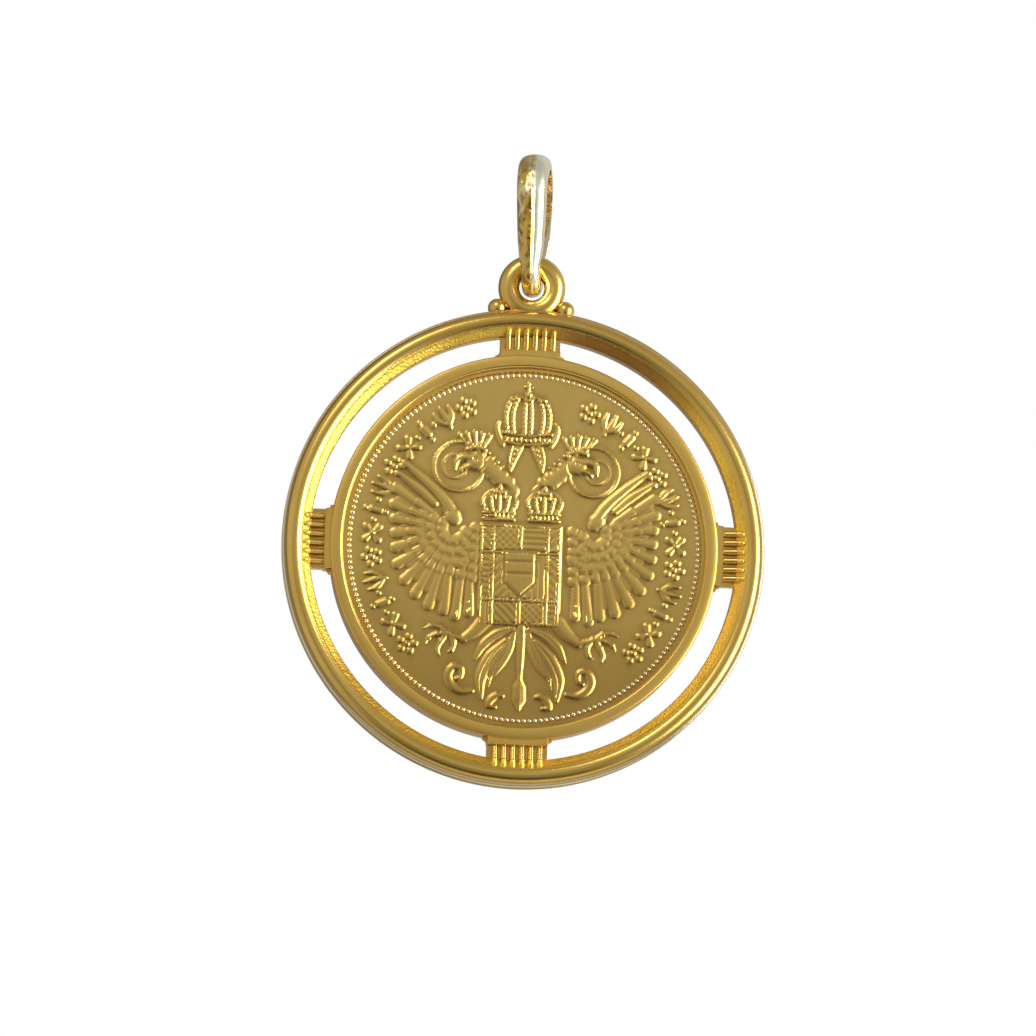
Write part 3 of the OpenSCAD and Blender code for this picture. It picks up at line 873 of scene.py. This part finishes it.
def strike_ornament(relief, angle, kind):
    """One small ornament of the border, with its foot towards the middle."""
    mid = polar((0, 0), 9.45, angle)
    turn = math.radians(angle - 90)

    def at(x, y):
        x, y = 1.3 * x, 1.3 * y
        c, s = math.cos(turn), math.sin(turn)
        return (mid[0] + x * c - y * s, mid[1] + x * s + y * c)

    if kind == 0:
        relief.pellet(at(0, 0), 0.19, 0.8)
        for k in range(5):
            relief.pellet(at(*polar((0, 0), 0.36, 90 + 72 * k)), 0.22, 0.66)
    if kind == 1:
        relief.sweep((at(0, -0.55), at(0.05, 0), at(0, 0.55)), (0.1, 0.2, 0.08), 0.68)
        for side in (-1, 1):
            relief.sweep((at(0, -0.45), at(side * 0.34, 0), at(side * 0.4, 0.4)), (0.08, 0.2, 0.08), 0.64)
    if kind == 2:
        relief.stroke(at(0, -0.2), at(0, 0.2), 0.24, 0.24, 0.72)
        for k in range(4):
            relief.pellet(at(*polar((0, 0), 0.5, 90 * k)), 0.16, 0.6)
    if kind == 3:
        for k in range(4):
            relief.stroke(at(0, 0), at(*polar((0, 0), 0.44, 45 + 90 * k)), 0.11, 0.23, 0.5, 0.68)
        relief.pellet(at(0, 0), 0.16, 0.85)


def strike(relief):
    """The whole design: a crowned eagle with two heads, a quartered shield and a border of ornaments."""
    for side in (-1, 1):
        relief.side = side
        strike_leg(relief)
        strike_tail_side(relief)
        strike_wing(relief)
        strike_head(relief)
    relief.side = 1
    strike_tail(relief)
    strike_great_crown(relief)
    relief.shift = -0.2
    for mid in (-1.4, 1.4):
        strike_small_crown(relief, mid)
    strike_shield(relief)
    relief.shift = 0.0
    for k in range(13):
        strike_ornament(relief, 66 - 9 * k, k % 4)
        strike_ornament(relief, 114 + 9 * k, k % 4)


def disc_grid(half):
    """A square grid bent into a disc: the ring of each point, from 0 to half, and its direction."""
    a, b = np.mgrid[-half : half + 1, -half : half + 1]
    wide = np.abs(a) > np.abs(b)
    ring = np.where(wide, a, b)
    safe = np.where(ring == 0, 1, ring)
    angle = math.pi / 4 * np.where(wide, b / safe, 2 - a / safe)
    way = np.stack([np.cos(angle), np.sin(angle)]) * np.sign(ring)
    return np.abs(ring).ravel(), way.reshape(2, -1)


def grid_faces(count):
    """The faces of a square grid with count points a side, and the points of its border in order."""
    number = np.arange(count * count).reshape(count, count)
    quads = np.stack([number[:-1, :-1], number[1:, :-1], number[1:, 1:], number[:-1, 1:]], -1)
    border = np.concatenate([number[:-1, 0], number[-1, :-1], number[:0:-1, -1], number[0, :0:-1]])
    return quads.reshape(-1, 4).tolist(), border


def coin_piece():
    """The coin as one closed mesh: a grid with the relief, then the edge and the plain back.

    The grid's rings are evenly spaced in the field. The outer six form the wall and the rim.
    """
    sizes = bpy.context.scene.pendant_coin
    half = 148
    count = 2 * half + 1
    chamfer = 0.08
    slope = 0.02
    rim_in = sizes.rim_in / MM
    edge = sizes.radius / MM
    top = sizes.thickness / 2 / MM
    field = top - sizes.field_drop / MM
    knots = (0, half - 6, half - 5, half - 4, half - 1, half)
    radii = (0, rim_in - chamfer, rim_in - slope, rim_in + slope, edge - chamfer, edge)
    levels = (field, field, field, top, top, top - chamfer)
    ring, way = disc_grid(half)
    x, y = way * np.interp(ring, knots, radii)
    relief = Relief(x, y)
    strike(relief)
    z = np.interp(ring, knots, levels) + relief.high * sizes.relief / MM
    faces, upper = grid_faces(count)
    around = way[:, upper]
    points = [np.stack([x, y, z])]
    total = len(x)
    back = ((edge, chamfer - top), (edge - chamfer, -top), (rim_in + slope, -top), (rim_in - slope, -field))
    for r, level in back:
        points.append(np.stack([*(around * r), np.full(len(upper), level)]))
        lower = np.arange(total, total + len(upper))
        faces += np.stack([upper, lower, np.roll(lower, -1), np.roll(upper, -1)], -1).tolist()
        total += len(upper)
        upper = lower
    points.append(np.array([[0], [0], [-field]]))
    faces += np.stack([upper, np.full(len(upper), total), np.roll(upper, -1)], -1).tolist()
    x, y, z = np.concatenate(points, 1)
    made = piece_from("coin_relief", np.stack([x, -z, y + COIN_Z / MM], -1), faces, coin_gold(), 60)
    values = np.zeros(len(x), np.float32)
    # the mask for painted shade beside the relief
    values[: count * count] = painted_recess_shade(relief.high.reshape(count, count)).ravel()
    made.data.attributes.new("recess", "FLOAT", "POINT").data.foreach_set("value", values)
    return made


def painted_recess_shade(high, reach=2, passes=3):
    """How deep each point of a grid of heights lies beside higher ones, from 0 to 1, as a mask for painted
    shade.
    """
    around = high.copy()
    for _ in range(passes):
        for axis in (0, 1):
            around = (np.roll(around, reach, axis) + around + np.roll(around, -reach, axis)) / 3
    return np.clip((around - high) * 3.0, 0, 1) * (high < 0.95)


# The registered pieces


class PENDANT_OT_coin(bpy.types.Operator):
    """Strike the coin with its raised design"""

    bl_idname = "pendant.coin"
    bl_label = "Coin"

    def execute(self, context):
        made = coin_piece()
        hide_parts("coin")
        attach(made, "pendant")
        return {"FINISHED"}


class PENDANT_OT_beads(bpy.types.Operator):
    """Set the row of beads inside the coin's rim"""

    bl_idname = "pendant.beads"
    bl_label = "Bead border"

    def execute(self, context):
        sizes = context.scene.pendant_coin
        steps = Steps("bead border", Count="Int", Border="Float", Bead="Float")
        circle = steps.shape("MeshCircle", Vertices=steps.given("Count"), Radius=steps.given("Border"))
        bead = steps.shape("MeshUVSphere", Segments=10, Rings=7, Radius=steps.given("Bead"))
        flat = steps.shape("Transform", Geometry=bead, Scale=(1, 1, 0.85))
        smooth = steps.shape("SetShadeSmooth", Geometry=flat)
        steps.end(steps.shape("InstanceOnPoints", Points=circle, Instance=smooth))
        made = line_piece("bead_border", ((0, 0), (1, 0)))
        raised = sizes.thickness / 2 - sizes.field_drop + sizes.bead_r * 0.2
        values = {
            "Count": sizes.bead_count,
            "Border": sizes.border_r,
            "Bead": sizes.bead_r,
            "Middle": (0, -raised, COIN_Z),
            "Material": bead_gold(),
        }
        steps.run(made, values)
        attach(made, "pendant")
        return {"FINISHED"}


def lathe_steps():
    """Sweeps the piece's own line, a section drawn beside the circle, round the circle."""
    steps = Steps("turned ring", Radius="Float", Sides="Int")
    section = steps.shape("MeshToCurve", Mesh=steps.given("Geometry"))
    circle = steps.shape(
        "CurvePrimitiveCircle", Resolution=steps.given("Sides"), Radius=steps.given("Radius")
    )
    return steps.end(steps.shape("CurveToMesh", Curve=circle, Profile_Curve=section))


def turned_piece(name, section, middle, material, sides=384, crease=30):
    """A ring that faces the front, from a section of (distance from the middle, height) in millimetres."""
    radius = sum(x for x, _ in section) / len(section)
    made = line_piece(name, [(x - radius, y) for x, y in section])
    values = {"Radius": radius * MM, "Sides": sides, "Middle": (0, 0, middle), "Material": material}
    lathe_steps().run(made, values)
    soften(made, crease)
    return made


def ring_section(sizes):
    """The ring's section: a slotted plate with a lined shoulder, a dome and a sloping flank on each side."""
    out = sizes.ring_r / MM
    slot = sizes.slot_r / MM
    shoulder = (
        (0.2, 0.35, 0.03), (0, 0.35, 0.03), (0, 0.45, 0.02), (0.03, 0.465, 0.005), (0.01, 0.49, 0.01),
        (0, 0.57, 0.04), (0.08, 0.64, 0.02), (0.115, 0.635, 0.005), (0.12, 0.68, 0.02), (0.17, 0.82, 0.07),
    )
    flank = ((0.42, 0.84, 0.04), (0.2, 0.66, 0.16), (0.02, 0.5, 0.06), (0, 0.4, 0.04))
    dome = [
        (out - 0.72 + 0.5 * math.cos(a), 0.8 + 0.38 * math.sin(a), 0.0)
        for a in np.radians(np.linspace(24, 156, 23))
    ]
    upper = [(out - x, y, back) for x, y, back in shoulder] + dome
    return rounded(both_halves(upper + [(slot + x, y, back) for x, y, back in flank]))


class PENDANT_OT_ring(bpy.types.Operator):
    """Turn the outer ring with its shoulders, domes and flanks"""

    bl_idname = "pendant.ring"
    bl_label = "Ring"

    def execute(self, context):
        sizes = context.scene.pendant_frame
        made = turned_piece("outer_ring", ring_section(sizes), COIN_Z, frame_gold())
        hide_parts("frame")
        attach(made, "pendant")
        return {"FINISHED"}


class PENDANT_OT_bezel(bpy.types.Operator):
    """Turn the bezel that holds the coin"""

    bl_idname = "pendant.bezel"
    bl_label = "Bezel"

    def execute(self, context):
        sizes = context.scene.pendant_frame
        out = sizes.bezel_r / MM
        lip = sizes.lip_r / MM
        upper = [
            (out, 0.86, 0.05), (out - 0.06, 0.95, 0.05), (out - 0.3, 0.99, 0.15), (lip + 0.16, 0.99, 0.02),
            (lip + 0.1, 0.96, 0.02), (lip + 0.02, 0.88, 0.03), (lip, 0.7, 0.02), (lip + 0.25, 0.7, 0.0),
        ]
        made = turned_piece("bezel", rounded(both_halves(upper)), COIN_Z, frame_gold())
        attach(made, "pendant")
        return {"FINISHED"}


# The bridges, in millimetres apart from the lean

RIDGE_FOOT = 0.46
RIDGE_LEAN = math.atan2(0.366, 1.598)
RIDGE_IN_PAD = 0.1
RIDGE_IN_RING = 0.42
BRIDGE_HALF = 1.87
BRIDGE_FLARE = 0.14
PLATE_HIGH = 0.35
PAD_HIGH = 0.84
PLATE_BEVEL = 0.03


class PENDANT_OT_bridges(bpy.types.Operator):
    """Lay the ridged bridges between bezel and ring"""

    bl_idname = "pendant.bridges"
    bl_label = "Bridges"

    def execute(self, context):
        sizes = context.scene.pendant_frame
        steps = Steps(
            "ridged bridges", Ridges="Int", Spacing="Float", Reach="Float", Height="Float", Lean="Float"
        )
        ridges, spacing = steps.given("Ridges"), steps.given("Spacing")
        start = (ridges - 1.0) * spacing * -0.5
        first = steps.vector(X=steps.given("Reach"), Y=start, Z=steps.given("Height"))
        offset = {"mode": "OFFSET"}
        row = steps.shape(
            "MeshLine", offset, Count=ridges, Start_Location=first, Offset=steps.vector(Y=spacing)
        )
        tilt = steps.vector(Y=steps.given("Lean"))
        comb = steps.shape("InstanceOnPoints", Points=row, Instance=steps.given("Geometry"), Rotation=tilt)
        solid = steps.shape("RealizeInstances", Geometry=comb)
        behind = steps.shape("Transform", Geometry=solid, Rotation=(math.pi, 0, 0))
        both = steps.joined(solid, behind)
        spot = steps.shape("MeshLine", offset, Count=4, Offset=(0, 0, 0))
        spin = steps.vector(Z=steps.node("GeometryNodeInputIndex") * (math.pi / 2))
        steps.end(steps.shape("InstanceOnPoints", Points=spot, Instance=both, Rotation=spin))
        made = ridge_piece(sizes)
        values = {
            "Ridges": sizes.ridge_count,
            "Spacing": sizes.ridge_pitch,
            "Reach": sizes.bezel_r + sizes.pad_w - RIDGE_IN_PAD * MM,
            "Height": RIDGE_FOOT * MM,
            "Lean": -RIDGE_LEAN,
            "Middle": (0, 0, COIN_Z),
            "Material": frame_gold(),
        }
        steps.run(made, values)
        soften(made, 40)
        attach(made, "pendant")
        plate = bridge_plates(sizes)
        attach(plate, "pendant")
        return {"FINISHED"}


def ridge_piece(sizes):
    """One ridge along +X: a broad rod whose ends are rounded."""
    r = sizes.ridge_r / MM
    run = (sizes.slot_r - sizes.bezel_r - sizes.pad_w) / MM + RIDGE_IN_RING
    nose = 0.14
    sides = 18
    cap = np.radians((4, 20, 38, 56, 74))
    stops = [(nose * (1 - math.cos(a)), math.sin(a)) for a in cap]
    stops += [(x, 1.0) for x in np.linspace(nose, run, 7)]
    stops += [(run + r * math.cos(a), math.sin(a)) for a in cap[::-1]]
    points = []
    for x, wide in stops:
        for k in range(sides):
            a = 2 * math.pi * k / sides
            points.append((x, 0.95 * r * wide * math.cos(a), r * wide * math.sin(a)))
    return piece_from("bridge_ridges", points, tube(len(stops), sides))


def bridge_plates(sizes):
    """The four plates under the ridges with their pads, their corners run into bezel and ring."""
    slot_in = sizes.bezel_r / MM
    slot_out = sizes.slot_r / MM
    inner = slot_in - 0.2
    pad_out = slot_in + sizes.pad_w / MM
    half, flare = BRIDGE_HALF, BRIDGE_FLARE
    plate = [(inner, half + flare * 2), (slot_in - 0.06, half + flare * 2)]
    for a in np.radians(np.linspace(0, 90, 6)):
        plate.append((slot_in + 0.36 * (1 - math.cos(a)), half + flare * 2 * (1 - math.sin(a))))
    plate += [
        (slot_out - 0.12, half), (slot_out - 0.03, half + flare * 0.4),
        (slot_out + 0.02, half + flare), (slot_out + 0.3, half + flare),
    ]
    pad = [(inner, half), (pad_out - 0.06, half), (pad_out, half - 0.06)]
    points = []
    faces = []
    for turn in range(4):
        prism(points, faces, both_halves(plate), PLATE_HIGH, turn)
        prism(points, faces, both_halves(pad), PAD_HIGH, turn)
    return piece_from("bridge_plates", points, faces, frame_gold())


def prism(points, faces, outline, high, turn):
    """Adds a bevelled plate that is high in front and behind, turned by quarter turns about the middle."""
    c, s = math.cos(turn * math.pi / 2), math.sin(turn * math.pi / 2)
    low = high - PLATE_BEVEL
    first = len(points)
    rows = ((high, PLATE_BEVEL), (low, 0.0), (-low, 0.0), (-high, PLATE_BEVEL))
    for level, inset in rows:
        for x, y in outline:
            y = y - math.copysign(inset, y)
            points.append((x * c - y * s, -level, x * s + y * c + COIN_Z / MM))
    faces.extend(tube(len(rows), len(outline), first))


class PENDANT_OT_eyelet(bpy.types.Operator):
    """Set the eyelet and its two solder balls on the rim"""

    bl_idname = "pendant.eyelet"
    bl_label = "Eyelet"

    def execute(self, context):
        sizes = context.scene.pendant_frame
        wire = sizes.eyelet_wire_r / MM
        mid = sizes.eyelet_r / MM
        turns = np.linspace(0, 2 * math.pi, 48, endpoint=False)
        section = [(mid + wire * math.cos(a), wire * math.sin(a)) for a in turns]
        eye_z = FRAME_HIGH.z - sizes.eyelet_r - sizes.eyelet_wire_r
        eyelet = turned_piece("eyelet", section, eye_z, frame_gold(), 96, 180)
        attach(eyelet, "pendant")
        ball = sizes.ball_r / MM
        side = 2.12
        sunk = 0.32
        rise = math.sqrt((sizes.ring_r / MM + ball - sunk) ** 2 - side**2) + COIN_Z / MM
        points = []
        faces = []
        for x in (-side, side):
            ball_mesh(points, faces, (x, 0, rise), ball)
        balls = piece_from("solder_balls", points, faces, frame_gold(), 180)
        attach(balls, "pendant")
        return {"FINISHED"}


def ball_mesh(points, faces, mid, r, rings=16, sides=32):
    """Adds a ball to a list of points and faces, from its bottom to its top."""
    first = len(points)
    x, y, z = mid
    points.append((x, y, z - r))
    for i in range(1, rings):
        a = math.pi * i / rings
        wide = r * math.sin(a)
        for k in range(sides):
            b = 2 * math.pi * k / sides
            points.append((x + wide * math.cos(b), y + wide * math.sin(b), z - r * math.cos(a)))
    last = len(points)
    points.append((x, y, z + r))
    faces.extend(skin(rings - 1, sides, first + 1))
    for k in range(sides):
        m = (k + 1) % sides
        faces.append((first, first + 1 + m, first + 1 + k))
        faces.append((last, last - sides + k, last - sides + m))


# The bail, in millimetres

BAIL_SUNK = 0.012
BAIL_WOBBLE = 0.010723
SEAM_Z = -1.72
SEAM_HALF = 0.035
SEAM_DEPTH = 0.05


class PENDANT_OT_bail(bpy.types.Operator):
    """Bend the half-round band into the bail"""

    bl_idname = "pendant.bail"
    bl_label = "Bail"

    def execute(self, context):
        sizes = context.scene.pendant_bail
        made = bail_piece(sizes)
        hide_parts("bail")
        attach(made, "bail")
        return {"FINISHED"}


def bail_path(sizes):
    """The middle of the band's inner edges round the loop: (front to back, height, direction)."""
    top_r, height = sizes.top_r / MM, sizes.height / MM
    low_mid = sizes.low_r / MM - height
    low_r = (sizes.low_r + sizes.belly) / MM
    lean = math.asin((top_r - low_r) / (-top_r - low_mid))

    def bend(mid, r, start, end, count):
        return [(r * math.cos(a), mid + r * math.sin(a), a) for a in np.linspace(start, end, count)]

    top = bend(-top_r, top_r, -lean, math.pi + lean, 56)
    low = bend(low_mid, low_r, math.pi + lean, 2 * math.pi - lean, 44)
    down = between(top[-1], low[0], 30)
    up = between((*low[-1][:2], -lean), top[0], 90)
    return top + down + low + up


def between(a, b, count):
    """The stops between two stops of a path, without its ends."""
    return [tuple(np.array(a) * (1 - t) + np.array(b) * t) for t in np.linspace(0, 1, count)[1:-1]]


def bail_piece(sizes):
    """The bail's band: domed outside, flat inside above and rounded below, with a seam behind."""
    path = bail_path(sizes)
    dome = 26
    inside = 12
    count = dome + inside
    rng = np.random.default_rng(7)
    wobble = np.cumsum(rng.normal(0, 1, len(path)))
    wobble -= wobble[0] + (wobble[-1] - wobble[0]) * np.linspace(0, 1, len(path))
    wobble *= BAIL_WOBBLE / np.abs(wobble).max()
    points = []
    across = []
    for uneven, (out, z, angle) in zip(wobble, path):
        down = min(1.0, max(0.0, -z * MM / sizes.height))
        narrow = 0.45 * down + 0.55 * min(1.0, down * 1.08) ** 6
        belly = sizes.belly / MM * min(1.0, down * 1.05) ** 4
        seam = SEAM_DEPTH * math.exp(-(((z - SEAM_Z) / SEAM_HALF) ** 2)) * (out > 0)
        half = (sizes.top_w + (sizes.low_w - sizes.top_w) * narrow) / MM / 2 - seam
        thick = (sizes.top_t + (sizes.low_t - sizes.top_t) * down) / MM - seam
        for k in range(count):
            if k < dome:
                a = math.pi * k / (dome - 1)
                side = math.cos(a)
                sunk = (BAIL_SUNK + uneven * side) * math.sin(a)
                lift = thick * math.sin(a) ** 0.52 - sunk
            else:
                a = math.pi * (k - dome + 1) / (inside + 1)
                side = -math.cos(a)
                lift = seam * math.sin(a) ** 0.3 - belly * math.sin(a)
            points.append((half * side, out + lift * math.cos(angle), z + lift * math.sin(angle)))
            # the inside counts as the right side, so it takes the painted lit pale colour and none of the
            # marks
            across.append(side if k < dome else 1.0)
    cloud = np.array(points)
    c, s = math.cos(sizes.turn), math.sin(sizes.turn)
    x, y, z = cloud.T
    placed = np.column_stack([x * c - y * s, x * s + y * c, z])
    made = piece_from("bail_band", placed, skin(len(path), count, 0, True), bail_gold(), 50)
    share_across = made.data.attributes.new("across", "FLOAT", "POINT")
    share_across.data.foreach_set("value", np.array(across, np.float32))
    return made


# The stage, in metres, degrees and pixels

FLOOR_Z = -0.5
FLOOR_BACK = 0.3
FLOOR_HALF = 0.6
ROOM_FRONT = 0.45
ROOM_SIDES = 0.56
ROOM_TOP = 0.36
ROOM_LOW = 0.05
ROOM_BACK = 0.6
VIEW_AZIMUTH = -4.5
VIEW_ELEVATION = -9.4
VIEW_ROLL = 1.9
VIEW_DISTANCE = 0.4
PIXELS = 1036
PIXELS_PER_METRE = 16115
RING_PIXEL = (523.2, 548.6)


def stage_material():
    """Pale matt paper with a fine grain."""
    look = Look("pale paper")
    grain = look.noise(look.place(), 900, 2.0)
    return look.finish((0.78, 0.78, 0.77, 1.0), 0.9, look.bump(grain, 0.0001, 0.05), metallic=0.0)


def stage_floor():
    """A pale sheet of paper, well below the hanging pendant."""
    side = 9
    steps = np.linspace(-FLOOR_HALF, FLOOR_HALF, side) / MM
    points = [(x, y + FLOOR_BACK / MM, FLOOR_Z / MM) for y in steps for x in steps]
    corners = [side * i + k for i in range(side - 1) for k in range(side - 1)]
    faces = [(c, c + 1, c + side + 1, c + side) for c in corners]
    piece_from("stage_floor", points, faces, stage_material(), 60)


def studio_world():
    """A white room seen directly; what the gold mirrors is brighter above and behind, darker low in front."""
    world = bpy.data.worlds.new("studio")
    world.use_nodes = True
    tree = world.node_tree
    tree.nodes.clear()
    look = Tree(tree)
    way = look.node("ShaderNodeTexCoord", None, None, "Generated")
    x, y, z = look.parts(way)
    off = (x * x + z * z) ** 0.5
    around = look.step(off, 0.25, 0.55)
    down = look.step((z * -1) / (off + 0.001), 0.5, 0.95)
    up = look.step(z / (off + 0.001), 0.35, 0.95)
    sides = (1 - down) * (1 - up) * ROOM_SIDES + up * ROOM_TOP + down * ROOM_LOW
    front = look.step(z, 0.02, 0.3, ROOM_FRONT * 0.6, ROOM_FRONT * 1.25)
    level = (1 - around) * front + around * sides
    behind = look.step(y, 0.0, 0.6)
    level = level * (1 - behind) + behind * look.step(x, -0.6, 0.5, ROOM_BACK * 0.3, ROOM_BACK)
    seen = look.node("ShaderNodeLightPath", None, None, "Is Camera Ray")
    level = level * (1 - seen) + seen
    colour = look.vector(X=level, Y=level, Z=level)
    shade = look.node("ShaderNodeBackground", None, {"Color": colour, "Strength": 1.0})
    look.put(tree.nodes.new("ShaderNodeOutputWorld").inputs["Surface"], shade)
    bpy.context.scene.world = world


def lamp(name, place, size, power):
    """A soft rectangular lamp that faces the pendant."""
    data = bpy.data.lights.new(name, "AREA")
    data.shape = "RECTANGLE"
    data.size, data.size_y = size
    data.energy = power
    made = bpy.data.objects.new(name, data)
    made.location = place
    made.rotation_euler = (Vector((0, 0, COIN_Z)) - Vector(place)).to_track_quat("-Z", "Y").to_euler()
    bpy.context.scene.collection.objects.link(made)


def camera():
    """A long lens from a little below and left, turned so that the pendant leans as photographed."""
    data = bpy.data.cameras.new("view")
    made = bpy.data.objects.new("view", data)
    bpy.context.scene.collection.objects.link(made)
    a, e = math.radians(VIEW_AZIMUTH), math.radians(VIEW_ELEVATION)
    back = Vector((math.sin(a) * math.cos(e), -math.cos(a) * math.cos(e), math.sin(e)))
    turn = (-back).to_track_quat("-Z", "Y") @ Matrix.Rotation(math.radians(VIEW_ROLL), 3, "Z").to_quaternion()
    right = turn @ Vector((1, 0, 0))
    up = turn @ Vector((0, 1, 0))
    half = PIXELS / 2
    beside = (RING_PIXEL[0] - half) / PIXELS_PER_METRE
    below = (RING_PIXEL[1] - half) / PIXELS_PER_METRE
    made.location = Vector((0, 0, COIN_Z)) - right * beside + up * below + back * VIEW_DISTANCE
    made.rotation_euler = turn.to_euler()
    data.sensor_width = 36
    data.lens = data.sensor_width * VIEW_DISTANCE / (PIXELS / PIXELS_PER_METRE)
    data.clip_start = 0.01
    data.clip_end = 10
    bpy.context.scene.camera = made


class PENDANT_OT_stage(bpy.types.Operator):
    """Set up the paper sheet, the soft lights and the camera"""

    bl_idname = "pendant.stage"
    bl_label = "Stage"

    def execute(self, context):
        stage_floor()
        studio_world()
        context.scene.view_settings.view_transform = "Standard"
        lamp("window", (-0.22, -0.5, 0.42), (0.3, 0.3), 0.7)
        lamp("right window", (0.4, -0.24, -0.04), (0.26, 0.46), 2.8)
        camera()
        return {"FINISHED"}


class PENDANT_PT_panel(bpy.types.Panel):
    """Lists the pendant's pieces"""

    bl_idname = "PENDANT_PT_panel"
    bl_label = "Coin pendant"
    bl_space_type = "VIEW_3D"
    bl_region_type = "UI"
    bl_category = "Pendant"

    def draw(self, context):
        for group in ("pendant_coin", "pendant_frame", "pendant_bail", "pendant_looks"):
            box = self.layout.box()
            values = getattr(context.scene, group)
            for name in values.bl_rna.properties.keys():
                if name not in ("rna_type", "name"):
                    box.prop(values, name)
        for operator in PIECES:
            self.layout.operator(operator.bl_idname)


GROUPS = {
    "pendant_coin": PendantCoin,
    "pendant_frame": PendantFrame,
    "pendant_bail": PendantBail,
    "pendant_looks": PendantLooks,
}
PIECES = (
    PENDANT_OT_coin,
    PENDANT_OT_beads,
    PENDANT_OT_ring,
    PENDANT_OT_bezel,
    PENDANT_OT_bridges,
    PENDANT_OT_eyelet,
    PENDANT_OT_bail,
    PENDANT_OT_stage,
)


def register():
    for cls in (*GROUPS.values(), *PIECES, PENDANT_PT_panel):
        bpy.utils.register_class(cls)
    for name, cls in GROUPS.items():
        setattr(bpy.types.Scene, name, bpy.props.PointerProperty(type=cls))


def unregister():
    for name in GROUPS:
        delattr(bpy.types.Scene, name)
    for cls in reversed((*GROUPS.values(), *PIECES, PENDANT_PT_panel)):
        bpy.utils.unregister_class(cls)


def main():
    """Builds every piece and the stage."""
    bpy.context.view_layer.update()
    register()
    bpy.ops.pendant.coin()
    bpy.ops.pendant.beads()
    bpy.ops.pendant.ring()
    bpy.ops.pendant.bezel()
    bpy.ops.pendant.bridges()
    bpy.ops.pendant.eyelet()
    bpy.ops.pendant.bail()
    bpy.ops.pendant.stage()


if __name__ == "__main__":
    main()
